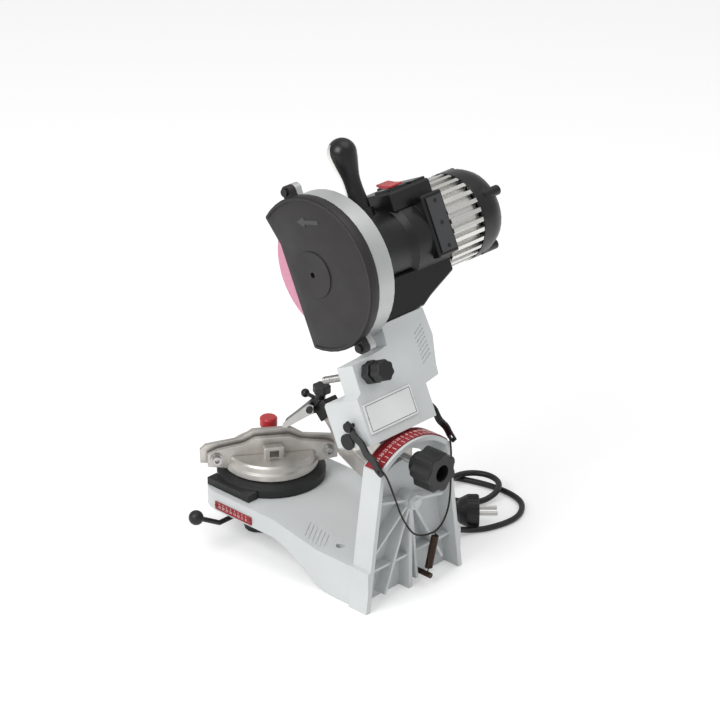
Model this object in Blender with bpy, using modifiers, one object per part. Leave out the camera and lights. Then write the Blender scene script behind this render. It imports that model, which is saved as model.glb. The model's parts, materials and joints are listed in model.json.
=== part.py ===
"""Bench grinder for chainsaw chains, modelled piece by piece at its real size.

Metres, +Z up. The rear of the stand faces +Y, the vise is in front at -Y, and the motor
points to -X. The origin lies on the bench plane, below the middle of the stand's rear foot.
"""
import math

import bmesh
import bpy
from mathutils import Matrix, Vector

for old in list(bpy.data.objects):
    bpy.data.objects.remove(old, do_unlink=True)

# Shared clearances
GAP = 0.0004            # between faces that touch on the real machine
RUN_GAP = 0.0008        # between pieces that turn or slide past each other
STEP = 0.0003           # keeps the faces of joined pieces from coinciding
OVERRUN = 0.004         # how far a cutter passes the face that it opens
LEAN = math.radians(25.3)          # the arm leans forward by this at rest
VISE_TURN = math.radians(-36.0)    # the vise is swivelled by this at rest
TILT_RANGE = math.radians(35.0)

# Stand: a cast rear upright and a platform that reaches forward to the vise
FOOT_HALF_WIDTH = 0.072
TOP_HALF_WIDTH = 0.050
UPRIGHT_REAR_Y = 0.010
UPRIGHT_FRONT_Y = -0.015
UPRIGHT_WALL = 0.005
UPRIGHT_WEB = 0.005
SHOULDER_Z = 0.148
TILT_AXIS_Z = 0.102
HEAD_RADIUS = 0.071
PLATFORM_FRONT_Y = -0.243
PLATFORM_TOP_Z = 0.057
PLATFORM_LOW_TOP_Z = 0.046
PLATFORM_SKIRT_Z = 0.036
PLATFORM_HALF_WIDTH = 0.069
PLATFORM_CORNER = 0.030
PLATFORM_WALL = 0.006
FOOT_DEPTH = 0.050
FOOT_END_Y = -0.040
RIB_THICKNESS = 0.003
BOSS_RADIUS = 0.009
SLOT_RADIUS = 0.046
SLOT_HALF_WIDTH = 0.0052
BENCH_HOLE_RADIUS = 0.0045
BENCH_HOLE_X = 0.046
BENCH_HOLE_Y = -0.052
CENTRE_RIB_HALF = 0.0025
ANCHOR_X = -0.017
ANCHOR_Z = 0.012
ANCHOR_RADIUS = 0.003

# Vise and what clamps it
VISE_Y = -0.201
VISE_X = -0.002
RING_OUTER = 0.058
RING_INNER = 0.049
RING_HEIGHT = 0.017
VISE_LIP_RADIUS = 0.044
JAW_BOLT_X = 0.060
JAW_BOLT_Z = 0.0865
SPINDLE_RADIUS = 0.006
LOW_KNOB_RADIUS = 0.036
LOW_KNOB_HEIGHT = 0.018
LOW_KNOB_FLOOR = 0.0004
LOW_KNOB_LOBES = 6
LEVER_RADIUS = 0.0027
LEVER_BALL_RADIUS = 0.008
LEVER_HUB_RADIUS = 0.011

# Tilting bracket and hinge
HINGE_Y = -0.038
HINGE_Z = 0.1715
BRACKET_THICKNESS = 0.012
BRACKET_RADIUS = 0.036
BRACKET_NECK_HALF = 0.022
HINGE_HUB_RADIUS = 0.012
PIN_RADIUS = 0.005
PIN_CAP_RADIUS = 0.0085
PIN_CAP_LENGTH = 0.003
STUD_RADIUS = 0.004
KNOB_RADIUS = 0.022
KNOB_LOBES = 7
KNOB_HOLE = 0.009

# Arm, in its own leaning frame: X across, Y to the rear, Z along the arm
ARM_HALF_WIDTH = 0.047
ARM_WALL = 0.005
ARM_REAR = 0.032
ARM_FRONT = -0.022
ARM_LOW = -0.008
ARM_BLOCK_TOP = 0.041
ARM_PLATE_FRONT = 0.008
LUG_X = 0.024
STOP_ROD_Z = 0.061
STOP_ROD_RADIUS = 0.004
STOP_KNOB_RADIUS = 0.0125
PLATE_HALF_WIDTH = 0.034
PLATE_HEIGHT = 0.031
PLATE_X = 0.010
PLATE_Z = 0.018
PLATE_THICKNESS = 0.0012

# Grinding head, about an axis along X
AXIS_UP = 0.1686
WHEEL_RADIUS = 0.0725
WHEEL_HALF = 0.0024
WHEEL_BORE = 0.0111
GUARD_RADIUS = 0.080
GUARD_FRONT_X = 0.0115
GUARD_WALL = 0.004
COVER_RADIUS = 0.0815
COVER_FACE_X = 0.0235
COVER_WALL = 0.003
COVER_BOSS_RADIUS = 0.0245
COVER_BOSS_RISE = 0.0012
EAR_REACH = 0.087
EAR_RADIUS = 0.0065
EAR_ANGLES = (math.radians(93.5), math.radians(-70.8))
BOX_LEFT_X = -0.078
BOX_RIGHT_X = -0.138
BOX_TOP = 0.052
BOX_FRONT_Y = -0.028
BOX_REAR_Y = 0.034
SIDE_BOX_LEFT_X = -0.105
SIDE_BOX_REAR_Y = 0.047
SIDE_BOX_TOP = 0.038
SIDE_BOX_LOW = -0.028
ROCKER_X = -0.097
ROCKER_Y = 0.016
GRILLE_FINS = 28
POST_CIRCLE = 0.0435
POST_ANGLE = math.radians(18.4)
HANDLE_X = -0.056
HANDLE_Y = 0.008
SHAFT_RADIUS = 0.0045
ROTOR_RADIUS = 0.020

# Return spring, cable and straps
STRAP_THICKNESS = 0.0024
WIRE_RADIUS = 0.0011
SPRING_RADIUS = 0.0042
SPRING_WIRE = 0.0007
SPRING_TURNS = 18
SPRING_POINTS = 8

# Mains lead
CORD_RADIUS = 0.0033
PLUG_PIN_RADIUS = 0.0022
PLUG_PIN_LENGTH = 0.019

PARTS = bpy.data.collections.new("chain_sharpener")
CUTTERS = bpy.data.collections.new("cutters")
bpy.context.scene.collection.children.link(PARTS)
bpy.context.scene.collection.children.link(CUTTERS)


def material(name, colour, roughness, metallic=0.0):
    made = bpy.data.materials.new(name)
    made.use_nodes = True
    shader = made.node_tree.nodes["Principled BSDF"]
    shader.inputs["Base Color"].default_value = (*colour, 1.0)
    shader.inputs["Roughness"].default_value = roughness
    shader.inputs["Metallic"].default_value = metallic
    return made


GREY_PAINT = material("grey_paint", (0.62, 0.65, 0.65), 0.45)
BLACK_PLASTIC = material("black_plastic", (0.02, 0.02, 0.02), 0.55)
BARE_ALUMINIUM = material("bare_aluminium", (0.62, 0.58, 0.55), 0.4, 0.9)
STEEL = material("steel", (0.55, 0.55, 0.55), 0.3, 1.0)
RED_PLASTIC = material("red_plastic", (0.5, 0.02, 0.03), 0.45)
PINK_STONE = material("pink_stone", (0.78, 0.36, 0.45), 0.9)
WHITE_LABEL = material("white_label", (0.85, 0.86, 0.84), 0.4)
BROWN_STEEL = material("brown_steel", (0.07, 0.04, 0.03), 0.5, 0.6)
RUBBER = material("rubber", (0.015, 0.015, 0.015), 0.7)


def frame(name, location, rotation=(0, 0, 0), parent=None):
    empty = bpy.data.objects.new(name, None)
    empty.location = location
    empty.rotation_euler = rotation
    empty.parent = parent
    PARTS.objects.link(empty)
    return empty


STAND = frame("stand_frame", (0, 0, 0))
VISE = frame("vise_frame", (VISE_X, VISE_Y, 0), (0, 0, VISE_TURN))
TILT = frame("tilt_frame", (0, 0, TILT_AXIS_Z))
ARM = frame("arm_frame", (0, HINGE_Y, HINGE_Z), (LEAN, 0, 0))
HEAD = frame("head_frame", (0, 0, AXIS_UP), (0, 0, 0), ARM)

# A solid made along Z is turned to lie along another axis by one of these
ALONG = {"Z": Matrix.Identity(4),
         "X": Matrix.Rotation(math.pi / 2, 4, "Y"),
         "Y": Matrix.Rotation(-math.pi / 2, 4, "X")}
# A flat outline (first, second) is raised along the third axis named
RAISED = {"Z": Matrix.Identity(4),
          "X": Matrix(((0, 0, 1, 0), (1, 0, 0, 0), (0, 1, 0, 0), (0, 0, 0, 1))),
          "Y": Matrix(((1, 0, 0, 0), (0, 0, -1, 0), (0, 1, 0, 0), (0, 0, 0, 1)))}


def place(name, mesh, parent, finish, location=(0, 0, 0), collection=PARTS):
    made = bpy.data.objects.new(name, mesh)
    collection.objects.link(made)
    made.parent = parent
    made.location = location
    if finish:
        mesh.materials.append(finish)
    if collection is CUTTERS:
        made.hide_render = True
        made.display_type = "WIRE"
    return made


def smooth(made, degrees=35):
    made.data.shade_smooth()
    made.data.set_sharp_from_angle(angle=math.radians(degrees))
    return made


def bevel(made, width, segments=1):
    modifier = made.modifiers.new("Bevel", "BEVEL")
    modifier.width = width
    modifier.segments = segments
    modifier.limit_method = "ANGLE"
    modifier.angle_limit = math.radians(40)
    return made


def boolean(target, tool, operation):
    modifier = target.modifiers.new(operation.title(), "BOOLEAN")
    modifier.operation = operation
    modifier.object = tool
    return target


def cut(target, tool):
    return boolean(target, tool, "DIFFERENCE")


def join(target, tool):
    return boolean(target, tool, "UNION")


def block(name, low, high, parent, finish=None, collection=PARTS):
    low = Vector(low)
    high = Vector(high)
    shape = bmesh.new()
    bmesh.ops.create_cube(shape, size=1)
    bmesh.ops.scale(shape, vec=high - low, verts=shape.verts)
    mesh = bpy.data.meshes.new(name)
    shape.to_mesh(mesh)
    shape.free()
    return place(name, mesh, parent, finish, (low + high) / 2, collection)


def rod(name, radius, start, end, parent, finish=None, collection=PARTS, segments=20,
        end_radius=None):
    start = Vector(start)
    end = Vector(end)
    shape = bmesh.new()
    far = radius if end_radius is None else end_radius
    bmesh.ops.create_cone(shape, cap_ends=True, segments=segments, radius1=radius,
                          radius2=far, depth=(end - start).length)
    turn = Vector((0, 0, 1)).rotation_difference(end - start).to_matrix()
    bmesh.ops.rotate(shape, cent=(0, 0, 0), matrix=turn, verts=shape.verts)
    mesh = bpy.data.meshes.new(name)
    shape.to_mesh(mesh)
    shape.free()
    made = place(name, mesh, parent, finish, (start + end) / 2, collection)
    return smooth(made)


def ball(name, radius, centre, parent, finish=None, collection=PARTS, segments=24):
    shape = bmesh.new()
    bmesh.ops.create_uvsphere(shape, u_segments=segments, v_segments=segments // 2,
                              radius=radius)
    mesh = bpy.data.meshes.new(name)
    shape.to_mesh(mesh)
    shape.free()
    return smooth(place(name, mesh, parent, finish, centre, collection), 60)


def turned(name, profile, centre, along, parent, finish=None, collection=PARTS, steps=30,
           flip=False):
    """A solid of revolution: the profile (radius, height) runs from top to bottom."""
    mesh = bpy.data.meshes.new(name)
    closed = profile[0] == profile[-1]
    points = [(radius, 0, height) for radius, height in profile]
    if closed:
        points.pop()
    edges = [(index, index + 1) for index in range(len(points) - 1)]
    if closed:
        edges.append((len(points) - 1, 0))
    mesh.from_pydata(points, edges, [])
    made = place(name, mesh, parent, finish, centre, collection)
    side = ALONG[along]
    if flip:
        side = side @ Matrix.Rotation(math.pi, 4, "X")
    made.rotation_euler = side.to_euler()
    screw = made.modifiers.new("Screw", "SCREW")
    screw.axis = "Z"
    screw.steps = steps
    screw.render_steps = steps
    screw.use_merge_vertices = True
    screw.merge_threshold = 0.00001
    screw.use_smooth_shade = False
    return made


def outline(name, points, low, high, along, parent, finish=None, collection=PARTS):
    """A flat outline raised from low to high along an axis."""
    half = abs(high - low) / 2
    solid = bmesh.new()
    corners = [solid.verts.new((first, second, -half)) for first, second in points]
    face = solid.faces.new(corners)
    raised = bmesh.ops.extrude_face_region(solid, geom=[face], use_keep_orig=True)
    tops = [item for item in raised["geom"] if isinstance(item, bmesh.types.BMVert)]
    bmesh.ops.translate(solid, vec=(0, 0, 2 * half), verts=tops)
    bmesh.ops.transform(solid, matrix=RAISED[along], verts=solid.verts)
    bmesh.ops.recalc_face_normals(solid, faces=solid.faces)
    mesh = bpy.data.meshes.new(name)
    solid.to_mesh(mesh)
    solid.free()
    middle = (low + high) / 2
    offset = {"X": (middle, 0, 0), "Y": (0, middle, 0), "Z": (0, 0, middle)}[along]
    return place(name, mesh, parent, finish, offset, collection)


def tube(name, points, radius, parent, finish, resolution=2, collection=PARTS):
    curve = bpy.data.curves.new(name, "CURVE")
    curve.dimensions = "3D"
    curve.bevel_depth = radius
    curve.bevel_resolution = resolution
    curve.use_fill_caps = True
    spline = curve.splines.new("POLY")
    spline.points.add(len(points) - 1)
    for point, place_at in zip(spline.points, points):
        point.co = (*place_at, 1)
    made = bpy.data.objects.new(name, curve)
    collection.objects.link(made)
    made.parent = parent
    curve.materials.append(finish)
    return made


def arc(centre, radius, start, end, count):
    """Points on an arc, from one angle to the other."""
    angles = [start + (end - start) * index / count for index in range(count + 1)]
    return [(centre[0] + radius * math.cos(angle), centre[1] + radius * math.sin(angle))
            for angle in angles]


def rounded(half_width, low, high, corner, count=5, middle=0):
    """A rectangle with round corners, low to high along its second axis."""
    points = []
    corners = (((1, 1), 0), ((-1, 1), 1), ((-1, -1), 2), ((1, -1), 3))
    for (side, end), quarter in corners:
        x = middle + side * (half_width - corner)
        y = high - corner if end > 0 else low + corner
        start = quarter * math.pi / 2
        points += arc((x, y), corner, start, start + math.pi / 2, count)
    return points


def lobed(radius, dip, lobes, per_lobe=6):
    """A knob's outline, whose grip swells and dips round the rim."""
    count = lobes * per_lobe
    points = []
    for index in range(count):
        angle = 2 * math.pi * index / count
        reach = radius - dip * (1 - math.cos(lobes * angle)) / 2
        points.append((reach * math.cos(angle), reach * math.sin(angle)))
    return points


def smooth_route(route, step):
    """Points a step apart on a smooth curve through the route's own points."""
    route = [Vector(point) for point in route]
    padded = [2 * route[0] - route[1]] + route + [2 * route[-1] - route[-2]]
    fine = []
    for index in range(1, len(padded) - 2):
        before, here, after, beyond = padded[index - 1:index + 3]
        pieces = max(2, round((after - here).length / step))
        for piece in range(pieces):
            t = piece / pieces
            fine.append(((2 * here) + (after - before) * t
                         + (2 * before - 5 * here + 4 * after - beyond) * t * t
                         + (3 * here - before - 3 * after + beyond) * t * t * t) / 2)
    return fine + [route[-1]]


def upright_outline(inset=0.0):
    """The upright from behind: wide at the foot, with a round head about the tilt axis."""
    head = HEAD_RADIUS - inset
    low_half = FOOT_HALF_WIDTH - inset
    top_half = TOP_HALF_WIDTH - inset
    top_angle = math.acos(top_half / head)
    top_z = TILT_AXIS_Z + head * math.sin(top_angle)
    points = [(low_half, inset), (top_half, top_z)]
    points += arc((0, TILT_AXIS_Z), head, top_angle, math.pi - top_angle, 20)[1:-1]
    points += [(-top_half, top_z), (-low_half, inset)]
    return points


def stand():
    """One casting: upright, ribs, boss, arc slot, platform and skirt."""
    casting = outline("base_casting", upright_outline(), UPRIGHT_FRONT_Y, UPRIGHT_REAR_Y,
                      "Y", STAND, GREY_PAINT)
    side = [(UPRIGHT_REAR_Y, 0), (FOOT_END_Y, 0)]
    rise_share = (0.27, 0.55, 0.82)
    drop_share = (0.13, 0.55, 0.88)
    skirt_start = FOOT_END_Y - FOOT_DEPTH - PLATFORM_SKIRT_Z
    for along_share, up_share in zip(rise_share, drop_share):
        side.append((FOOT_END_Y + (skirt_start - FOOT_END_Y) * along_share,
                     PLATFORM_SKIRT_Z * up_share))
    side += [(skirt_start, PLATFORM_SKIRT_Z), (PLATFORM_FRONT_Y, PLATFORM_SKIRT_Z),
             (PLATFORM_FRONT_Y, PLATFORM_TOP_Z), (skirt_start, PLATFORM_TOP_Z),
             (FOOT_END_Y - FOOT_DEPTH / 2, PLATFORM_LOW_TOP_Z),
             (UPRIGHT_REAR_Y, PLATFORM_LOW_TOP_Z)]
    platform = outline("platform_side", side, -FOOT_HALF_WIDTH, FOOT_HALF_WIDTH, "X",
                       STAND, None, CUTTERS)
    plan = rounded(PLATFORM_HALF_WIDTH, PLATFORM_FRONT_Y, UPRIGHT_REAR_Y + PLATFORM_CORNER,
                   PLATFORM_CORNER)
    plan_solid = outline("platform_plan", plan, -OVERRUN, PLATFORM_TOP_Z + OVERRUN, "Z",
                         STAND, None, CUTTERS)
    boolean(platform, plan_solid, "INTERSECT")
    join(casting, platform)
    hollow = outline("platform_hollow",
                     [(UPRIGHT_FRONT_Y, -OVERRUN),
                      (PLATFORM_FRONT_Y + PLATFORM_WALL, -OVERRUN),
                      (PLATFORM_FRONT_Y + PLATFORM_WALL, PLATFORM_TOP_Z - PLATFORM_WALL),
                      (skirt_start, PLATFORM_TOP_Z - PLATFORM_WALL),
                      (FOOT_END_Y - FOOT_DEPTH / 2, PLATFORM_LOW_TOP_Z - PLATFORM_WALL),
                      (UPRIGHT_FRONT_Y, PLATFORM_LOW_TOP_Z - PLATFORM_WALL)],
                     -PLATFORM_HALF_WIDTH, PLATFORM_HALF_WIDTH, "X", STAND, None, CUTTERS)
    inner_plan = outline("platform_inner_plan",
                         rounded(PLATFORM_HALF_WIDTH - PLATFORM_WALL,
                                 PLATFORM_FRONT_Y + PLATFORM_WALL, UPRIGHT_REAR_Y,
                                 PLATFORM_CORNER - PLATFORM_WALL),
                         -2 * OVERRUN, PLATFORM_TOP_Z, "Z", STAND, None, CUTTERS)
    boolean(hollow, inner_plan, "INTERSECT")
    cut(casting, hollow)
    pocket_front = UPRIGHT_FRONT_Y + UPRIGHT_WEB
    pocket_outline = upright_outline(UPRIGHT_WALL)
    floor_z = -OVERRUN
    pocket_outline[0] = (pocket_outline[0][0], floor_z)
    pocket_outline[-1] = (pocket_outline[-1][0], floor_z)
    pocket = outline("rear_pocket", pocket_outline, pocket_front,
                     UPRIGHT_REAR_Y + OVERRUN, "Y", STAND, None, CUTTERS)
    cut(casting, pocket)
    ribs(casting, pocket_front)
    slot_cutter(casting)
    for side_sign in (-1, 1):
        hole = rod(f"bench_hole_{side_sign}", BENCH_HOLE_RADIUS,
                   (side_sign * BENCH_HOLE_X, BENCH_HOLE_Y, PLATFORM_LOW_TOP_Z / 2),
                   (side_sign * BENCH_HOLE_X, BENCH_HOLE_Y, PLATFORM_TOP_Z), STAND, None,
                   CUTTERS, 20)
        cut(casting, hole)
    spindle_hole = rod("spindle_hole", SPINDLE_RADIUS + RUN_GAP,
                       (VISE_X, VISE_Y, PLATFORM_SKIRT_Z),
                       (VISE_X, VISE_Y, PLATFORM_TOP_Z + OVERRUN), STAND, None, CUTTERS)
    cut(casting, spindle_hole)
    anchor_hole = rod("anchor_hole", ANCHOR_RADIUS + GAP, (ANCHOR_X, -FOOT_DEPTH, ANCHOR_Z),
                      (ANCHOR_X, 0, ANCHOR_Z), STAND, None, CUTTERS, 16)
    cut(casting, anchor_hole)
    return smooth(casting, 30)


def ribs(casting, pocket_front):
    """Thin ribs run out from the boss to the walls, and one closes the foot."""
    rib_rear = UPRIGHT_REAR_Y - 2 * RIB_THICKNESS
    centre = Vector((0, TILT_AXIS_Z))
    targets_share = ((0.55, 0.05), (-0.15, 0.05), (-0.72, 0.12), (-0.86, 0.62),
                     (0.88, 0.40), (0.92, 0.78))
    embed = UPRIGHT_WALL / 2
    for index, (across_share, up_share) in enumerate(targets_share):
        half = FOOT_HALF_WIDTH + (TOP_HALF_WIDTH - FOOT_HALF_WIDTH) * up_share
        end = Vector((across_share * (half - embed), up_share * SHOULDER_Z))
        run = (end - centre).normalized() * RIB_THICKNESS
        side = Vector((-run.y, run.x)) / 2
        start = centre + run
        corners = [start + side, start - side, end - side, end + side]
        rib = outline(f"rib_{index}", [tuple(corner) for corner in corners],
                      pocket_front - UPRIGHT_WEB / 2, rib_rear, "Y", STAND, None, CUTTERS)
        join(casting, rib)
    shelf = block("rib_shelf",
                  (-FOOT_HALF_WIDTH + UPRIGHT_WALL / 2, pocket_front - UPRIGHT_WEB / 2,
                   SHOULDER_Z / 4),
                  (FOOT_HALF_WIDTH - 2 * UPRIGHT_WALL, rib_rear - RIB_THICKNESS,
                   SHOULDER_Z / 4 + RIB_THICKNESS), STAND, None, CUTTERS)
    join(casting, shelf)
    centre_rib = block("centre_rib", (-CENTRE_RIB_HALF, pocket_front - UPRIGHT_WEB / 2, 0),
                       (CENTRE_RIB_HALF, rib_rear, TILT_AXIS_Z), STAND, None, CUTTERS)
    join(casting, centre_rib)
    boss = rod("pivot_boss", BOSS_RADIUS, (0, pocket_front - UPRIGHT_WEB / 2, TILT_AXIS_Z),
               (0, rib_rear + RIB_THICKNESS, TILT_AXIS_Z), STAND, None, CUTTERS, 20)
    join(casting, boss)


def slot_cutter(casting):
    """The clamp stud travels in an arc slot about the tilt axis."""
    middle = math.pi / 2
    spread = TILT_RANGE + math.radians(7.5)
    outer = arc((0, TILT_AXIS_Z), SLOT_RADIUS + SLOT_HALF_WIDTH, middle - spread,
                middle + spread, 16)
    inner = arc((0, TILT_AXIS_Z), SLOT_RADIUS - SLOT_HALF_WIDTH, middle + spread,
                middle - spread, 16)
    slot = outline("tilt_slot", outer + inner, UPRIGHT_FRONT_Y - OVERRUN,
                   UPRIGHT_REAR_Y + OVERRUN, "Y", STAND, None, CUTTERS)
    pivot = rod("pivot_hole", PIN_RADIUS + RUN_GAP,
                (0, UPRIGHT_FRONT_Y - OVERRUN, TILT_AXIS_Z),
                (0, UPRIGHT_REAR_Y + OVERRUN, TILT_AXIS_Z), STAND, None, CUTTERS)
    cut(casting, slot)
    cut(casting, pivot)


stand()


def move(points, across, up):
    return [(first + across, second + up) for first, second in points]


def circle(radius, count=40):
    return arc((0, 0), radius, 0, 2 * math.pi * (count - 1) / count, count - 1)


def base_trim():
    """Red scales, the swivel ring, the pivot bolt and the spring's anchor."""
    spread = math.radians(TILT_SCALE_SPREAD)
    middle = math.pi / 2
    outer = arc((0, TILT_AXIS_Z), HEAD_RADIUS + GAP + SCALE_THICKNESS, middle - spread,
                middle + spread, 20)
    inner = arc((0, TILT_AXIS_Z), HEAD_RADIUS + GAP, middle + spread, middle - spread, 20)
    strip = outline("tilt_scale", outer + inner, TILT_SCALE_FRONT, TILT_SCALE_REAR, "Y",
                    STAND, RED_PLASTIC)
    smooth(strip)
    side = PLATFORM_HALF_WIDTH + GAP
    block("vise_scale", (side, VISE_SCALE_FRONT, VISE_SCALE_LOW),
          (side + SCALE_THICKNESS, VISE_SCALE_REAR, VISE_SCALE_TOP), STAND, RED_PLASTIC)
    bottom = PLATFORM_TOP_Z + GAP
    top = bottom + RING_HEIGHT - UPRIGHT_WALL / 2
    bore = VISE_LIP_RADIUS + RUN_GAP
    ring_profile = [(bore, top), (RING_INNER, top), (RING_OUTER, top - RING_HEIGHT / 3),
                    (RING_OUTER, bottom), (bore, bottom), (bore, top)]
    ring = turned("swivel_ring", ring_profile, (VISE_X, VISE_Y, 0), "Z", STAND,
                  BLACK_PLASTIC, steps=40)
    pad = block("ring_pad",
                (RING_INNER, VISE_Y - RING_PAD_HALF, bottom),
                (RING_PAD_X, VISE_Y + RING_PAD_HALF, bottom + RING_PAD_HEIGHT), STAND,
                None, CUTTERS)
    join(ring, pad)
    smooth(ring)
    bolt = rod("pivot_bolt", PIN_RADIUS, (0, PIVOT_FRONT_Y, TILT_AXIS_Z),
               (0, PIVOT_REAR_Y, TILT_AXIS_Z), STAND, STEEL)
    front_head = UPRIGHT_FRONT_Y - 2 * GAP - BRACKET_THICKNESS
    head = rod("pivot_head", BOSS_RADIUS, (0, front_head - BOLT_HEAD, TILT_AXIS_Z),
               (0, front_head, TILT_AXIS_Z), STAND, None, CUTTERS, 6)
    boss_face = UPRIGHT_REAR_Y - RIB_THICKNESS + GAP
    nut = rod("pivot_nut", BOSS_RADIUS, (0, boss_face, TILT_AXIS_Z),
              (0, boss_face + BOLT_HEAD, TILT_AXIS_Z), STAND, None, CUTTERS, 6)
    join(bolt, head)
    join(bolt, nut)
    rod("spring_anchor", ANCHOR_RADIUS, (ANCHOR_X, ANCHOR_FRONT_Y, ANCHOR_Z),
        (ANCHOR_X, ANCHOR_REAR_Y, ANCHOR_Z), STAND, BROWN_STEEL, segments=16)


TILT_SCALE_SPREAD = 44.0
TILT_SCALE_FRONT = -0.013
TILT_SCALE_REAR = 0.007
SCALE_THICKNESS = 0.001
VISE_SCALE_FRONT = -0.212
VISE_SCALE_REAR = -0.158
VISE_SCALE_LOW = 0.0385
VISE_SCALE_TOP = 0.0475
RING_PAD_HALF = 0.031
RING_PAD_X = 0.062
RING_PAD_HEIGHT = 0.008
PIVOT_FRONT_Y = -0.033
PIVOT_REAR_Y = 0.0135
BOLT_HEAD = 0.004
ANCHOR_FRONT_Y = -0.035
ANCHOR_REAR_Y = 0.0165
base_trim()

VISE_PROFILE = ((0, 0.088), (0.0455, 0.088), (0.0475, 0.086), (0.0475, 0.0805),
                (0.050, 0.0785), (0.050, 0.0728), (0.044, 0.0728), (0.044, 0.0578),
                (0, 0.0578))
CHANNEL_LOW = (-0.060, -0.0018, 0.074)
CHANNEL_HIGH = (0.060, 0.0134, 0.100)
TOWER_LOW = (-0.011, 0.0134, 0.078)
TOWER_HIGH = (0.011, 0.025, 0.0995)
WINDOW_LOW = (-0.005, 0.010, 0.0885)
WINDOW_HIGH = (0.005, 0.030, 0.0965)
FRONT_JAW = ((0.018, 0.106), (0.030, 0.100), (0.058, 0.0955), (0.069, 0.0905),
             (0.069, 0.0775), (0.050, 0.0745), (-0.050, 0.0745), (-0.069, 0.0775),
             (-0.069, 0.0905), (-0.058, 0.0955), (-0.030, 0.100), (-0.018, 0.106))
REAR_JAW = ((0.020, 0.112), (0.034, 0.103), (0.070, 0.0985), (0.076, 0.093),
            (0.076, 0.0785), (0.050, 0.0745), (-0.050, 0.0745), (-0.076, 0.0785),
            (-0.076, 0.093), (-0.070, 0.0985), (-0.034, 0.103), (-0.020, 0.112))
FRONT_JAW_Y = (0.007, 0.013)
REAR_JAW_Y = (-0.001, 0.004)
JAW_HOLE_RADIUS = 0.0033
BOLT_SHANK = 0.0027
BOLT_END_Y = -0.004
BOLT_WASHER = 0.0065
BOLT_WASHER_LENGTH = 0.002
BOLT_CAP = 0.0048
BOLT_CAP_LENGTH = 0.005
POST_Y = -0.016
POST_RADIUS_OUT = 0.0065
POST_TOP = 0.104
POST_BORE = 0.003
POST_BORE_LOW = 0.093
SPINDLE_LOW = 0.005
RED_KNOB_PROFILE = ((0, 0.1165), (0.008, 0.1165), (0.0095, 0.115), (0.0095, 0.107),
                    (0.008, 0.1048), (0.0026, 0.1048), (0.0026, 0.0935), (0, 0.0935))


def vise():
    body = turned("vise_body", VISE_PROFILE, (0, 0, 0), "Z", VISE, BARE_ALUMINIUM,
                  steps=40)
    cut(body, block("vise_channel", CHANNEL_LOW, CHANNEL_HIGH, VISE, None, CUTTERS))
    tower = bevel(block("vise_tower", TOWER_LOW, TOWER_HIGH, VISE, None, CUTTERS), GAP * 3)
    join(body, tower)
    cut(body, block("tower_window", WINDOW_LOW, WINDOW_HIGH, VISE, None, CUTTERS))
    join(body, rod("clamp_post", POST_RADIUS_OUT, (0, POST_Y, CHANNEL_LOW[2]),
                   (0, POST_Y, POST_TOP), VISE, None, CUTTERS))
    cut(body, rod("post_bore", POST_BORE, (0, POST_Y, POST_BORE_LOW),
                  (0, POST_Y, POST_TOP + OVERRUN), VISE, None, CUTTERS, 16))
    join(body, rod("vise_spindle", SPINDLE_RADIUS, (0, 0, SPINDLE_LOW),
                   (0, 0, PLATFORM_TOP_Z + OVERRUN), VISE, None, CUTTERS))
    smooth(body)
    front = outline("front_jaw", FRONT_JAW, *FRONT_JAW_Y, "Y", VISE, BARE_ALUMINIUM)
    rear = outline("rear_jaw", REAR_JAW, *REAR_JAW_Y, "Y", VISE, BARE_ALUMINIUM)
    for number, side in enumerate((1, -1), 1):
        at = side * JAW_BOLT_X
        hole = rod(f"jaw_hole_{number}", JAW_HOLE_RADIUS, (at, -RING_OUTER, JAW_BOLT_Z),
                   (at, RING_OUTER, JAW_BOLT_Z), VISE, None, CUTTERS, 20)
        cut(front, hole)
        cut(rear, hole)
        washer_y = FRONT_JAW_Y[1] + GAP
        cap_y = washer_y + BOLT_WASHER_LENGTH
        bolt = rod(f"jaw_bolt_{number}", BOLT_SHANK, (at, BOLT_END_Y, JAW_BOLT_Z),
                   (at, cap_y, JAW_BOLT_Z), VISE, STEEL, segments=20)
        join(bolt, rod(f"jaw_washer_{number}", BOLT_WASHER, (at, washer_y, JAW_BOLT_Z),
                       (at, cap_y, JAW_BOLT_Z), VISE, None, CUTTERS, 20))
        join(bolt, rod(f"jaw_cap_{number}", BOLT_CAP, (at, cap_y - GAP, JAW_BOLT_Z),
                       (at, cap_y + BOLT_CAP_LENGTH, JAW_BOLT_Z), VISE, None, CUTTERS, 20))
        cut(bolt, rod(f"jaw_socket_{number}", BOLT_SHANK,
                      (at, cap_y + BOLT_CAP_LENGTH / 3, JAW_BOLT_Z),
                      (at, cap_y + 2 * BOLT_CAP_LENGTH, JAW_BOLT_Z), VISE, None, CUTTERS, 6))
    knob = turned("red_knob", RED_KNOB_PROFILE, (0, POST_Y, 0), "Z", VISE, RED_PLASTIC,
                  steps=24)
    smooth(knob)


LEVER_HUB_LOW = 0.0215
LEVER_HUB_TOP = 0.0335
LEVER_LOW_Z = 0.0275
LEVER_BEND_X = 0.077
LEVER_BALL_X = 0.110
LEVER_BALL_Z = 0.0465
KNOB_BORE_FLOOR = 0.0042


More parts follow.
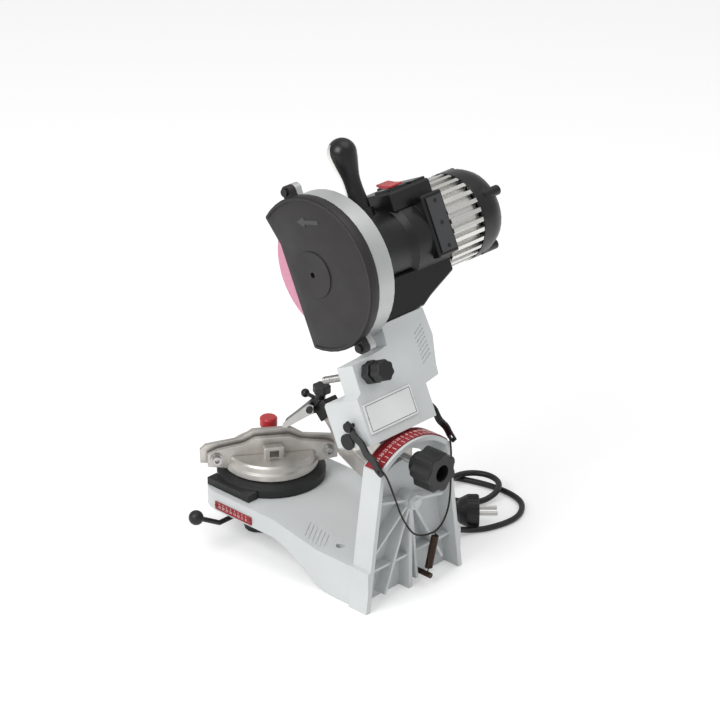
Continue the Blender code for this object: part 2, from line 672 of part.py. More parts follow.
def vise_controls():
    """The ball lever and the big knob, both on the spindle under the platform."""
    post = frame("spindle_frame", (VISE_X, VISE_Y, 0))
    bore = SPINDLE_RADIUS + GAP
    profile = [(bore, LEVER_HUB_TOP), (LEVER_HUB_RADIUS, LEVER_HUB_TOP),
               (LEVER_HUB_RADIUS, LEVER_HUB_LOW), (bore, LEVER_HUB_LOW),
               (bore, LEVER_HUB_TOP)]
    lever = turned("ball_lever", profile, (0, 0, 0), "Z", post, BLACK_PLASTIC, steps=28)
    bend = (LEVER_BEND_X, 0, LEVER_LOW_Z)
    end = (LEVER_BALL_X, 0, LEVER_BALL_Z)
    near = (LEVER_HUB_RADIUS - LEVER_RADIUS / 2, 0, LEVER_LOW_Z)
    join(lever, rod("lever_rod", LEVER_RADIUS, near, bend, post, None, CUTTERS, 14))
    join(lever, rod("lever_rise", LEVER_RADIUS, bend, end, post, None, CUTTERS, 14))
    join(lever, ball("lever_bend", LEVER_RADIUS, bend, post, None, CUTTERS, 14))
    join(lever, ball("lever_ball", LEVER_BALL_RADIUS, end, post, None, CUTTERS, 20))
    smooth(lever)
    knob = outline("low_knob", lobed(LOW_KNOB_RADIUS, LOW_KNOB_RADIUS / 8, LOW_KNOB_LOBES),
                   LOW_KNOB_FLOOR, LOW_KNOB_FLOOR + LOW_KNOB_HEIGHT, "Z", post,
                   BLACK_PLASTIC)
    bevel(knob, RUN_GAP * 2)
    cut(knob, rod("low_knob_bore", bore, (0, 0, KNOB_BORE_FLOOR), (0, 0, LEVER_HUB_TOP),
                  post, None, CUTTERS))
    smooth(knob)


vise()
vise_controls()

NECK_SIDE = ((-0.0158, 0), (-0.0158, 0.060), (-0.028, 0.0755), (-0.038, 0.0815),
             (-0.048, 0.0755), (-0.050, 0.066), (-0.040, 0.050), (-0.0274, 0.030),
             (-0.0274, 0))
STUD_FRONT_Y = -0.024
STUD_REAR_Y = 0.030
STUD_BORE_Y = -0.025
TILT_KNOB_FRONT = 0.020
TILT_KNOB_REAR = 0.046
TILT_KNOB_BOSS = 0.0108
TILT_KNOB_BORE_END = 0.0315
TILT_KNOB_RECESS = 0.034
STOP_LUG_LOW = (-0.052, -0.0274, -0.026)
STOP_LUG_HIGH = (-0.020, -0.0158, -0.004)
HINGE = (0, HINGE_Y, HINGE_Z - TILT_AXIS_Z)


def tilt_group():
    """The bracket that carries the arm, with its clamp, cap and hinge pin."""
    front = UPRIGHT_FRONT_Y - GAP - BRACKET_THICKNESS
    bracket = outline("tilt_bracket", circle(BRACKET_RADIUS), front,
                      UPRIGHT_FRONT_Y - GAP, "Y", TILT, BARE_ALUMINIUM)
    neck = outline("bracket_neck", NECK_SIDE, -BRACKET_NECK_HALF, BRACKET_NECK_HALF, "X",
                   TILT, None, CUTTERS)
    join(bracket, neck)
    join(bracket, block("stop_lug", STOP_LUG_LOW, STOP_LUG_HIGH, TILT, None, CUTTERS))
    half = ARM_HALF_WIDTH - ARM_WALL - RUN_GAP
    join(bracket, rod("hinge_hub", HINGE_HUB_RADIUS, (-half, *HINGE[1:]),
                      (half, *HINGE[1:]), TILT, None, CUTTERS))
    cut(bracket, rod("hinge_bore", PIN_RADIUS + GAP, (-ARM_HALF_WIDTH, *HINGE[1:]),
                     (ARM_HALF_WIDTH, *HINGE[1:]), TILT, None, CUTTERS))
    cut(bracket, rod("bracket_pivot_bore", PIN_RADIUS + GAP, (0, -FOOT_DEPTH, 0),
                     (0, 0, 0), TILT, None, CUTTERS))
    cut(bracket, rod("stud_bore", STUD_RADIUS + GAP, (0, STUD_BORE_Y, SLOT_RADIUS),
                     (0, 0, SLOT_RADIUS), TILT, None, CUTTERS))
    smooth(bracket)
    rod("clamp_stud", STUD_RADIUS, (0, STUD_FRONT_Y, SLOT_RADIUS),
        (0, STUD_REAR_Y, SLOT_RADIUS), TILT, STEEL, segments=20)
    knob_outline = move(lobed(KNOB_RADIUS, KNOB_RADIUS / 6, KNOB_LOBES), 0, SLOT_RADIUS)
    knob = outline("tilt_knob", knob_outline, TILT_KNOB_FRONT, TILT_KNOB_REAR, "Y", TILT,
                   BLACK_PLASTIC)
    bevel(knob, 2 * RUN_GAP)
    at = SLOT_RADIUS
    join(knob, rod("knob_boss", HINGE_HUB_RADIUS, (0, TILT_KNOB_BOSS, at),
                   (0, TILT_KNOB_FRONT + RUN_GAP, at), TILT, None, CUTTERS))
    cut(knob, rod("knob_bore", STUD_RADIUS + GAP, (0, 0, at),
                  (0, TILT_KNOB_BORE_END, at), TILT, None, CUTTERS))
    cut(knob, rod("knob_recess", KNOB_HOLE, (0, TILT_KNOB_RECESS, at),
                  (0, TILT_KNOB_REAR + OVERRUN, at), TILT, None, CUTTERS))
    smooth(knob)
    pin_half = ARM_HALF_WIDTH + GAP
    pin = rod("hinge_pin", PIN_RADIUS, (-pin_half, *HINGE[1:]), (pin_half, *HINGE[1:]),
              TILT, STEEL)
    for side in (-1, 1):
        join(pin, rod(f"pin_cap_{side}", PIN_CAP_RADIUS,
                      (side * (pin_half + PIN_CAP_LENGTH), *HINGE[1:]),
                      (side * pin_half, *HINGE[1:]), TILT, None, CUTTERS))
    smooth(pin)


tilt_group()

ARM_OUTLINE = ((0.047, -0.008), (0.047, 0.041), (0.0405, 0.045), (0.0395, 0.074),
               (0.009, 0.0755), (-0.0125, 0.0785), (-0.0135, 0.0996), (-0.074, 0.0996),
               (-0.076, 0.070), (-0.068, 0.040), (-0.067, 0.030), (-0.047, 0.027),
               (-0.047, -0.008))
ARM_POCKET = ((0.003, 0.046), (0.003, 0.071), (-0.018, 0.073), (-0.0185, 0.094),
              (-0.069, 0.094), (-0.071, 0.070), (-0.062, 0.046))
GROOVE = ((-0.0520, 0.0458), (-0.0656, 0.0530), (-0.0650, 0.0541), (-0.0514, 0.0469))
GROOVE_STEP = 0.0044
GROOVE_DEPTH = 0.0008
GROOVE_COUNT = 8
STOP_ROD_FRONT = -0.035
STOP_ROD_REAR = 0.058
LOCK_KNOB_Y = (0.0355, 0.0455)
END_KNOB_Y = (0.0480, 0.0610)
END_KNOB_BORE = 0.0590
END_KNOB_RADIUS = 0.0115
STRAP_PIN_RADIUS = 0.0018
STRAP_PIN_HEAD = 0.0052
STRAP_PIN_Y = 0.0142
STRAP_PIN_Z = 0.016
STRAP_INNER_X = 0.0520
STRAP_LENGTH = 0.0547
STRAP_ANGLE = math.radians(-65.1)
STRAP_WAVE = 0.0012
STRAP_WAVES = 3
STRAP_STEPS = 18
STRAP_END = 0.0055
STRAP_HALF = 0.0042




def arm_group():
    """Cast arm: a yoke over the hinge below, a plate for the motor above."""
    casting = outline("arm_casting", ARM_OUTLINE, ARM_PLATE_FRONT, ARM_REAR, "Y", ARM,
                      GREY_PAINT)
    yoke = block("arm_yoke", (-ARM_HALF_WIDTH, ARM_FRONT, ARM_LOW),
                 (ARM_HALF_WIDTH, ARM_REAR - GAP, ARM_BLOCK_TOP), ARM, None, CUTTERS)
    bevel(yoke, 3 * RUN_GAP)
    join(casting, yoke)
    inner = ARM_HALF_WIDTH - ARM_WALL
    cut(casting, block("yoke_hollow", (-inner, ARM_FRONT - OVERRUN, ARM_LOW - OVERRUN),
                       (inner, ARM_REAR - ARM_WALL, ARM_BLOCK_TOP - ARM_WALL), ARM, None,
                       CUTTERS))
    pocket = outline("arm_pocket", ARM_POCKET, 0, ARM_REAR - ARM_WALL, "Y", ARM, None,
                     CUTTERS)
    cut(casting, pocket)
    cut(casting, rod("arm_hinge_bore", PIN_RADIUS + GAP, (-STRAP_LENGTH, 0, 0),
                     (STRAP_LENGTH, 0, 0), ARM, None, CUTTERS))
    cut(casting, rod("stop_rod_bore", STOP_ROD_RADIUS + GAP,
                     (LUG_X, STOP_ROD_FRONT, STOP_ROD_Z),
                     (LUG_X, STOP_ROD_REAR, STOP_ROD_Z), ARM, None, CUTTERS))
    cut(casting, rod("strap_pin_bore", STRAP_PIN_RADIUS + GAP,
                     (-STRAP_LENGTH, STRAP_PIN_Y, STRAP_PIN_Z),
                     (STRAP_LENGTH, STRAP_PIN_Y, STRAP_PIN_Z), ARM, None, CUTTERS))
    for number in range(GROOVE_COUNT):
        groove = outline(f"groove_{number}", move(GROOVE, 0, number * GROOVE_STEP),
                         ARM_REAR - GROOVE_DEPTH, ARM_REAR + OVERRUN, "Y", ARM, None,
                         CUTTERS)
        cut(casting, groove)
    smooth(casting, 30)
    plate = outline("label_plate",
                    rounded(PLATE_HALF_WIDTH, PLATE_Z - PLATE_HEIGHT / 2,
                            PLATE_Z + PLATE_HEIGHT / 2, 2 * RUN_GAP, 3, PLATE_X),
                    ARM_REAR + GAP, ARM_REAR + GAP + PLATE_THICKNESS, "Y", ARM,
                    WHITE_LABEL)
    smooth(plate)
    rod("depth_screw", STOP_ROD_RADIUS, (LUG_X, STOP_ROD_FRONT, STOP_ROD_Z),
        (LUG_X, STOP_ROD_REAR, STOP_ROD_Z), ARM, STEEL, segments=20)
    lock = outline("depth_lock_knob",
                   move(lobed(STOP_KNOB_RADIUS, STOP_KNOB_RADIUS / 7, KNOB_LOBES, 4), LUG_X,
                        STOP_ROD_Z), *LOCK_KNOB_Y, "Y", ARM, BLACK_PLASTIC)
    bevel(lock, RUN_GAP)
    cut(lock, rod("lock_bore", STOP_ROD_RADIUS + GAP, (LUG_X, 0, STOP_ROD_Z),
                  (LUG_X, 2 * STOP_ROD_REAR, STOP_ROD_Z), ARM, None, CUTTERS))
    smooth(lock)
    end = outline("depth_end_knob",
                  move(lobed(END_KNOB_RADIUS, END_KNOB_RADIUS / 7, KNOB_LOBES, 4), LUG_X,
                       STOP_ROD_Z), *END_KNOB_Y, "Y", ARM, BLACK_PLASTIC)
    bevel(end, RUN_GAP)
    cut(end, rod("end_bore", STOP_ROD_RADIUS + GAP, (LUG_X, 0, STOP_ROD_Z),
                 (LUG_X, END_KNOB_BORE, STOP_ROD_Z), ARM, None, CUTTERS))
    smooth(end)
    straps()


def straps():
    """A wavy strap hangs on a pin at each cheek and leads down to the cable."""
    strap_frame = frame("strap_frame", (0, STRAP_PIN_Y, STRAP_PIN_Z), (STRAP_ANGLE, 0, 0),
                        ARM)
    upper = []
    lower = []
    for step in range(STRAP_STEPS + 1):
        share = step / STRAP_STEPS
        along = -STRAP_END + share * (STRAP_LENGTH + 2 * STRAP_END)
        nearest_share = min(share, 1 - share)
        wave = STRAP_WAVE * math.sin(share * STRAP_WAVES * 2 * math.pi)
        wave *= min(1.0, 5 * nearest_share)
        end_share = min(1.0, 0.65 + 4 * nearest_share)
        upper.append((along, wave + STRAP_HALF * end_share))
        lower.append((along, wave - STRAP_HALF * end_share))
    shape = lower + upper[::-1]
    for name, side in (("left", 1), ("right", -1)):
        near = side * STRAP_INNER_X
        far = side * (STRAP_INNER_X + STRAP_THICKNESS)
        strap = outline(f"strap_{name}", shape, min(near, far), max(near, far), "X",
                        strap_frame, BLACK_PLASTIC)
        cut(strap, rod(f"strap_hole_{name}", STRAP_PIN_RADIUS + GAP, (near / 2, 0, 0),
                       (2 * near, 0, 0), strap_frame, None, CUTTERS, 20))
        cut(strap, rod(f"strap_eye_{name}", STRAP_HALF / 2, (near / 2, STRAP_LENGTH, 0),
                       (2 * near, STRAP_LENGTH, 0), strap_frame, None, CUTTERS, 16))
        smooth(strap)
        start = side * (ARM_HALF_WIDTH - ARM_WALL + RUN_GAP)
        pin = rod(f"strap_pin_{name}", STRAP_PIN_RADIUS, (start, 0, 0),
                  (far + side * GAP, 0, 0), strap_frame, STEEL, segments=20)
        join(pin, rod(f"strap_pin_head_{name}", STRAP_PIN_HEAD, (far + side * GAP, 0, 0),
                      (far + side * STRAP_THICKNESS, 0, 0), strap_frame, None, CUTTERS, 20))
        smooth(pin)


arm_group()

GUARD_PLATE_X = -0.010
SHIELD_STEPS = 30
SHIELD_CUT_LOW = math.radians(-115.4)
SHIELD_CUT_HIGH = math.radians(123.5)
SHIELD_CORNER = (-0.035, 0.037)
EAR_LENGTH = 0.008
EAR_BORE = 0.0022
SCREW_HEAD = 0.0042
SCREW_HEAD_LENGTH = 0.003
SCREW_SHANK = 0.0018
SCREW_LENGTH = 0.013
SHAFT_HOLE = 0.008
COVER_INNER_X = 0.0205
COVER_HOLE_DEPTH = 0.004
COVER_HOLE_RADIUS = 0.003
COVER_CHAMFER = 0.002


def shield_outline(radius):
    """Almost a full circle, cut away toward the front so that the wheel shows."""
    points = arc((0, 0), radius, SHIELD_CUT_LOW, SHIELD_CUT_HIGH, SHIELD_STEPS)
    corner = SHIELD_CORNER
    return points + [corner]


def ear(name, angle, low, high, radius):
    at = (EAR_REACH * math.cos(angle), EAR_REACH * math.sin(angle))
    return rod(name, radius, (low, *at), (high, *at), HEAD, None, CUTTERS, 18)


def ear_web(name, angle, low, high):
    """A short block ties each ear to the rim."""
    direction = Vector((math.cos(angle), math.sin(angle)))
    side = Vector((-direction.y, direction.x)) * EAR_RADIUS * 0.95
    near = direction * (GUARD_RADIUS - COVER_WALL / 2)
    far = direction * EAR_REACH
    corners = [near - side, far - side, far + side, near + side]
    return outline(name, [tuple(corner) for corner in corners], low, high, "X", HEAD, None,
                   CUTTERS)


def guard_group():
    """Silver guard behind the wheel, black cover in front, two screws."""
    guard = outline("wheel_guard", shield_outline(GUARD_RADIUS), GUARD_PLATE_X,
                    GUARD_FRONT_X, "X", HEAD, GREY_PAINT)
    cover_low = GUARD_FRONT_X + GAP
    cover = outline("wheel_cover", shield_outline(COVER_RADIUS), cover_low, COVER_FACE_X,
                    "X", HEAD, BLACK_PLASTIC)
    bevel(cover, COVER_CHAMFER, 2)
    for number, angle in enumerate(EAR_ANGLES, 1):
        ear_low = GUARD_FRONT_X - EAR_LENGTH
        join(guard, ear(f"guard_ear_{number}", angle, ear_low, GUARD_FRONT_X - STEP,
                        EAR_RADIUS))
        join(guard, ear_web(f"guard_web_{number}", angle, ear_low + STEP,
                            GUARD_FRONT_X - 2 * STEP))
        ear_top = cover_low + EAR_LENGTH
        join(cover, ear(f"cover_ear_{number}", angle, cover_low + STEP, ear_top,
                        EAR_RADIUS))
        join(cover, ear_web(f"cover_web_{number}", angle, cover_low + 2 * STEP,
                            ear_top - STEP))
    boss = rod("cover_boss", COVER_BOSS_RADIUS, (COVER_INNER_X, 0, 0),
               (COVER_FACE_X + COVER_BOSS_RISE, 0, 0), HEAD, None, CUTTERS, 36)
    join(cover, boss)
    wall = GUARD_WALL
    inner = outline("guard_hollow", inset_shield(GUARD_RADIUS, wall), GUARD_PLATE_X + wall,
                    GUARD_FRONT_X + OVERRUN, "X", HEAD, None, CUTTERS)
    cut(guard, inner)
    inner = outline("cover_hollow", inset_shield(COVER_RADIUS, COVER_WALL),
                    cover_low - OVERRUN, COVER_INNER_X, "X", HEAD, None, CUTTERS)
    cut(cover, inner)
    cut(guard, rod("guard_shaft_hole", SHAFT_HOLE, (GUARD_PLATE_X - OVERRUN, 0, 0),
                   (0, 0, 0), HEAD, None, CUTTERS))
    face = COVER_FACE_X + COVER_BOSS_RISE
    cut(cover, rod("cover_centre_hole", COVER_HOLE_RADIUS, (face - COVER_HOLE_DEPTH, 0, 0),
                   (face + OVERRUN, 0, 0), HEAD, None, CUTTERS, 20))
    for number, angle in enumerate(EAR_ANGLES, 1):
        bore = ear(f"ear_bore_{number}", angle, GUARD_FRONT_X - EAR_LENGTH - OVERRUN,
                   cover_low + EAR_LENGTH + OVERRUN, EAR_BORE)
        cut(guard, bore)
        cut(cover, bore)
        at = (EAR_REACH * math.cos(angle), EAR_REACH * math.sin(angle))
        head_low = cover_low + EAR_LENGTH + GAP
        screw = rod(f"guard_screw_{number}", SCREW_SHANK, (head_low - SCREW_LENGTH, *at),
                    (head_low + GAP, *at), HEAD, STEEL, segments=14)
        join(screw, rod(f"screw_head_{number}", SCREW_HEAD, (head_low, *at),
                        (head_low + SCREW_HEAD_LENGTH, *at), HEAD, None, CUTTERS, 20))
        smooth(screw)
    smooth(guard)
    smooth(cover)


def inset_shield(radius, wall):
    """The hollow of a shield, open along the cut edge."""
    inner = radius - wall
    points = arc((0, 0), inner, SHIELD_CUT_LOW, SHIELD_CUT_HIGH, SHIELD_STEPS)
    first = Vector(points[0])
    last = Vector(points[-1])
    reach = Vector((-wall * 4, 0))
    corner = Vector(SHIELD_CORNER) + reach
    return points + [tuple(last + reach), tuple(corner), tuple(first + reach)]


FLANGE_RADIUS = 0.022
FLANGE_BACK_X = -0.0056
FLANGE_GAP_X = 0.0028
FLANGE_FRONT_X = 0.006
WHEEL_BOSS_RADIUS = 0.0107
WHEEL_BOSS_END = 0.0018
NUT_RADIUS = 0.0095
NUT_LENGTH = 0.006
SPINDLE_NOSE_X = 0.0155
SPINDLE_TAIL_X = -0.201
SPINDLE_BIG = 0.005
BEARING_OUTER = 0.013
BEARING_BORE = 0.0049
FRONT_BEARING_X = (-0.0148, -0.0225)
REAR_BEARING_X = (-0.1605, -0.1675)
REAR_BEARING_RADIUS = 0.011
ROTOR_X = (-0.045, -0.125)
STATOR_X = (-0.055, -0.115)
STATOR_OUTER = 0.0355
STATOR_INNER = 0.0215
FAN_X = (-0.1870, -0.1960)
FAN_BLADES = 9
FAN_ROOT = 0.016
FAN_REACH = 0.036


def spinning_group():
    """Wheel, flanges, nut, shaft, rotor and fan all turn together."""
    def ring(name, inner, outer, low, high, finish, steps=32):
        profile = [(inner, high), (outer, high), (outer, low), (inner, low), (inner, high)]
        made = turned(name, profile, (0, 0, 0), "X", HEAD, finish, steps=steps)
        return smooth(made)

    ring("grinding_wheel", WHEEL_BORE, WHEEL_RADIUS, -WHEEL_HALF, WHEEL_HALF, PINK_STONE,
         56)
    bore = SPINDLE_BIG + GAP
    profile = [(bore, WHEEL_BOSS_END), (WHEEL_BOSS_RADIUS, WHEEL_BOSS_END),
               (WHEEL_BOSS_RADIUS, -FLANGE_GAP_X), (FLANGE_RADIUS, -FLANGE_GAP_X),
               (FLANGE_RADIUS, FLANGE_BACK_X), (bore, FLANGE_BACK_X),
               (bore, WHEEL_BOSS_END)]
    smooth(turned("inner_flange", profile, (0, 0, 0), "X", HEAD, STEEL))
    ring("outer_flange", bore, FLANGE_RADIUS, FLANGE_GAP_X, FLANGE_FRONT_X, STEEL)
    nut = rod("spindle_nut", NUT_RADIUS, (FLANGE_FRONT_X + GAP, 0, 0),
              (FLANGE_FRONT_X + GAP + NUT_LENGTH, 0, 0), HEAD, STEEL, segments=6)
    cut(nut, rod("nut_bore", bore, (0, 0, 0), (COVER_FACE_X, 0, 0), HEAD, None, CUTTERS))
    profile = [(0, SPINDLE_NOSE_X), (SPINDLE_BIG, SPINDLE_NOSE_X),
               (SPINDLE_BIG, FRONT_BEARING_X[0] + 2 * GAP),
               (SHAFT_RADIUS, FRONT_BEARING_X[0] + GAP), (SHAFT_RADIUS, SPINDLE_TAIL_X),
               (0, SPINDLE_TAIL_X)]
    smooth(turned("spindle", profile, (0, 0, 0), "X", HEAD, STEEL, steps=28))
    ring("front_bearing", BEARING_BORE, BEARING_OUTER, FRONT_BEARING_X[1],
         FRONT_BEARING_X[0], STEEL)
    ring("rear_bearing", BEARING_BORE, REAR_BEARING_RADIUS, REAR_BEARING_X[1],
         REAR_BEARING_X[0], STEEL)
    ring("rotor", BEARING_BORE, ROTOR_RADIUS, ROTOR_X[1], ROTOR_X[0], BROWN_STEEL)
    ring("stator", STATOR_INNER, STATOR_OUTER, STATOR_X[1], STATOR_X[0], BROWN_STEEL)
    blades = []
    for blade in range(FAN_BLADES):
        start = 2 * math.pi * blade / FAN_BLADES
        pitch = 2 * math.pi / FAN_BLADES
        root_share = (0, 0.5)
        tip_share = (0.62, 0.85)
        for share in root_share:
            angle = start + pitch * share
            blades.append((FAN_ROOT * math.cos(angle), FAN_ROOT * math.sin(angle)))
        for share in tip_share:
            angle = start + pitch * share
            blades.append((FAN_REACH * math.cos(angle), FAN_REACH * math.sin(angle)))
    fan = outline("cooling_fan", blades, *FAN_X[::-1], "X", HEAD, BLACK_PLASTIC)
    cut(fan, rod("fan_bore", BEARING_BORE, (FAN_X[0] + OVERRUN, 0, 0),
                 (FAN_X[1] - OVERRUN, 0, 0), HEAD, None, CUTTERS))
    smooth(fan)


HOUSING_PROFILE = ((0, -0.0104), (0.054, -0.0104), (0.054, -0.013), (0.044, -0.0185),
                   (0.0405, -0.026), (0.0405, -0.078), (0.0455, -0.084),
                   (0.0455, -0.1346), (0, -0.1346))
HOUSING_HOLLOW = ((0, -0.0045), (0.008, -0.0045), (0.008, -0.0140), (0.0134, -0.0140),
                  (0.0134, -0.0235), (0.036, -0.026), (0.036, -0.140), (0, -0.140))
GUSSET = ((-0.0185, -0.030), (-0.0185, -0.0686), (-0.079, -0.0686), (-0.092, -0.062),
          (-0.1330, -0.0465), (-0.1330, -0.030))
GUSSET_Y = (-0.006, 0.031)
GRILLE_LENGTH_X = (-0.135, -0.1800)
GRILLE_BORE = 0.0375
GRILLE_TIP = 0.0475
GRILLE_ROOT = 0.0420
GRILLE_WEB_X = (-0.160, -0.1690)
DOME_PROFILE = ((0.0445, -0.1804), (0.0480, -0.1804), (0.0480, -0.1950), (0.0470, -0.2020),
                (0.0430, -0.2110), (0.0350, -0.2180), (0.0220, -0.2215), (0, -0.2225),
                (0, -0.2185), (0.0325, -0.2140), (0.0430, -0.1990), (0.0445, -0.1804))
POST_X = (-0.193, -0.2160)
POST_OUT = 0.0055
POST_HOLE = 0.0030
POST_HOLE_X = -0.2110
SWITCH_BOX_Q = 0.030
SWITCH_STEP_X = -0.114
SWITCH_STEP_Q = 0.0545
BEZEL_HALF = (0.0125, 0.0125)
BEZEL_TOP = 0.0545
ROCKER_HALF = 0.009
ROCKER_PIVOT_Q = 0.0546
ROCKER_SIDE = ((0.0100, 0.0005), (0.0100, 0.0025), (0, 0.0040), (-0.0100, 0.0070),
               (-0.0100, 0.0048), (-0.0015, 0.0004), (0.0015, 0.0004))
SOCKET_RADIUS = 0.0135
SOCKET_TOP = 0.0445
GRIP_PROFILE = ((0, 0.1205), (0.0060, 0.1193), (0.0110, 0.1158), (0.0146, 0.1102),
                (0.0155, 0.1050), (0.0146, 0.0998), (0.0115, 0.0950), (0.0100, 0.0890),
                (0.0095, 0.0700), (0.0098, 0.0560), (0.0125, 0.0460), (0.0125, 0.0450),
                (0, 0.0450))
STRIP_SPREAD = math.radians(42)
STRIP_INNER = 0.0108
STRIP_OUTER = 0.0120
STRIP_Z = (0.053, 0.0885)
SIDE_PLATE_X = (-0.1305, -0.1095)
SIDE_PLATE_Z = (-0.024, 0.034)
SIDE_PLATE_RISE = 0.0012


def motor_group():
    """Housing with its boxes and gusset, grille, domed cap, switch and handle."""
    housing = turned("motor_housing", HOUSING_PROFILE, (0, 0, 0), "X", HEAD, BLACK_PLASTIC,
                     steps=36)
    gusset = outline("motor_gusset", GUSSET, *GUSSET_Y, "Y", HEAD, None, CUTTERS)
    bevel(gusset, RUN_GAP * 2)
    join(housing, gusset)
    box = block("switch_box", (BOX_RIGHT_X, BOX_FRONT_Y, SWITCH_BOX_Q),
                (BOX_LEFT_X, BOX_REAR_Y, BOX_TOP), HEAD, None, CUTTERS)
    bevel(box, RUN_GAP * 3)
    trim_x = BOX_RIGHT_X - GAP * 10
    limit = block("box_limit", (trim_x, -BOX_TOP * 2, -BOX_TOP * 2),
                  (GRILLE_LENGTH_X[0] + GAP, BOX_TOP * 2, BOX_TOP * 2), HEAD, None, CUTTERS)
    join(housing, box)
    step = block("switch_step", (HOUSING_PROFILE[-1][1], BOX_FRONT_Y + OVERRUN,
                                 SWITCH_BOX_Q),
                 (SWITCH_STEP_X, BOX_REAR_Y - OVERRUN, SWITCH_STEP_Q), HEAD, None, CUTTERS)
    join(housing, bevel(step, RUN_GAP))
    side = block("side_box", (HOUSING_PROFILE[-1][1], HANDLE_Y, SIDE_BOX_LOW),
                 (SIDE_BOX_LEFT_X, SIDE_BOX_REAR_Y, SIDE_BOX_TOP), HEAD, None, CUTTERS)
    join(housing, bevel(side, RUN_GAP * 2))
    bezel = block("switch_bezel",
                  (ROCKER_X - BEZEL_HALF[0], ROCKER_Y - BEZEL_HALF[1], SWITCH_BOX_Q),
                  (ROCKER_X + BEZEL_HALF[0], ROCKER_Y + BEZEL_HALF[1], BEZEL_TOP), HEAD,
                  None, CUTTERS)
    join(housing, bevel(bezel, RUN_GAP))
    join(housing, rod("handle_socket", SOCKET_RADIUS, (HANDLE_X, HANDLE_Y, SWITCH_BOX_Q),
                      (HANDLE_X, HANDLE_Y, SOCKET_TOP), HEAD, None, CUTTERS))
    cut(housing, limit)
    cut(housing, turned("housing_hollow", HOUSING_HOLLOW, (0, 0, 0), "X", HEAD, None,
                        CUTTERS, 28))
    smooth(housing)
    teeth = []
    for vane in range(GRILLE_FINS):
        pitch = 2 * math.pi / GRILLE_FINS
        tip_share = (0.0, 0.42)
        root_share = (0.5, 0.92)
        for share in tip_share:
            angle = (vane + share) * pitch
            teeth.append((GRILLE_TIP * math.cos(angle), GRILLE_TIP * math.sin(angle)))
        for share in root_share:
            angle = (vane + share) * pitch
            teeth.append((GRILLE_ROOT * math.cos(angle), GRILLE_ROOT * math.sin(angle)))
    grille = outline("vent_grille", teeth, *GRILLE_LENGTH_X[::-1], "X", HEAD,
                     BARE_ALUMINIUM)
    near, far = GRILLE_LENGTH_X
    cut(grille, rod("grille_bore_near", GRILLE_BORE, (near + OVERRUN, 0, 0),
                    (GRILLE_WEB_X[0], 0, 0), HEAD, None, CUTTERS, 36))
    cut(grille, rod("grille_bore_far", GRILLE_BORE, (GRILLE_WEB_X[1], 0, 0),
                    (far - OVERRUN, 0, 0), HEAD, None, CUTTERS, 36))
    cut(grille, rod("grille_bearing_bore", REAR_BEARING_RADIUS + GAP,
                    (GRILLE_WEB_X[0] + OVERRUN, 0, 0), (GRILLE_WEB_X[1] - OVERRUN, 0, 0),
                    HEAD, None, CUTTERS))
    smooth(grille, 20)
    dome = turned("end_cap", DOME_PROFILE, (0, 0, 0), "X", HEAD, BLACK_PLASTIC, steps=36)
    for number in range(4):
        angle = POST_ANGLE + number * math.pi / 2
        at = (POST_CIRCLE * math.cos(angle), POST_CIRCLE * math.sin(angle))
        join(dome, rod(f"cap_post_{number}", POST_OUT, (POST_X[0], *at), (POST_X[1], *at),
                       HEAD, None, CUTTERS, 16))
    for number in range(4):
        angle = POST_ANGLE + number * math.pi / 2
        at = (POST_CIRCLE * math.cos(angle), POST_CIRCLE * math.sin(angle))
        cut(dome, rod(f"cap_hole_{number}", POST_HOLE, (POST_HOLE_X, *at),
                      (POST_X[1] - OVERRUN, *at), HEAD, None, CUTTERS, 14))
    smooth(dome)
    block("terminal_plate", (SIDE_PLATE_X[0], SIDE_BOX_REAR_Y + GAP, SIDE_PLATE_Z[0]),
          (SIDE_PLATE_X[1], SIDE_BOX_REAR_Y + GAP + SIDE_PLATE_RISE, SIDE_PLATE_Z[1]), HEAD,
          GREY_PAINT)
    rocker_frame = frame("rocker_frame", (ROCKER_X, ROCKER_Y, ROCKER_PIVOT_Q), (0, 0, 0),
                         HEAD)
    rocker = outline("rocker_switch", ROCKER_SIDE, -ROCKER_HALF, ROCKER_HALF, "X",
                     rocker_frame, RED_PLASTIC)
    smooth(bevel(rocker, GAP))
    grip = turned("grip_handle", GRIP_PROFILE, (HANDLE_X, HANDLE_Y, 0), "Z", HEAD,
                  BLACK_PLASTIC, steps=22)
    smooth(grip)
    outer = arc((HANDLE_X, HANDLE_Y), STRIP_OUTER, -STRIP_SPREAD, STRIP_SPREAD, 8)
    inner = arc((HANDLE_X, HANDLE_Y), STRIP_INNER, STRIP_SPREAD, -STRIP_SPREAD, 8)
    smooth(outline("handle_strip", outer + inner, *STRIP_Z, "Z", HEAD, BARE_ALUMINIUM))


guard_group()
spinning_group()
motor_group()

CABLE_ROUTE = ((0.0502, 0.0100, 0.1570), (0.0482, 0.0128, 0.1525),
               (0.0448, 0.0148, 0.1440), (0.0362, 0.0150, 0.1230),
               (0.0253, 0.0150, 0.0968), (0.0103, 0.0150, 0.0735),
               (-0.0040, 0.0147, 0.0640), (-0.0150, 0.0143, 0.0610),
               (-0.0262, 0.0140, 0.0602), (-0.0362, 0.0146, 0.0665),
               (-0.0432, 0.0150, 0.0790), (-0.0465, 0.0150, 0.0960),
               (-0.0472, 0.0150, 0.1200), (-0.0476, 0.0146, 0.1400),
               (-0.0486, 0.0128, 0.1500), (-0.0502, 0.0100, 0.1570))
CABLE_STEP = 0.006
SPRING_TOP = (-0.0258, 0.0140, 0.0562)
SPRING_FOOT = (-0.0180, 0.0120, 0.0182)
SPRING_HOOK_TOP = (-0.0262, 0.0140, 0.0579)
SPRING_HOOK_FOOT = (-0.0171, 0.0120, 0.0154)


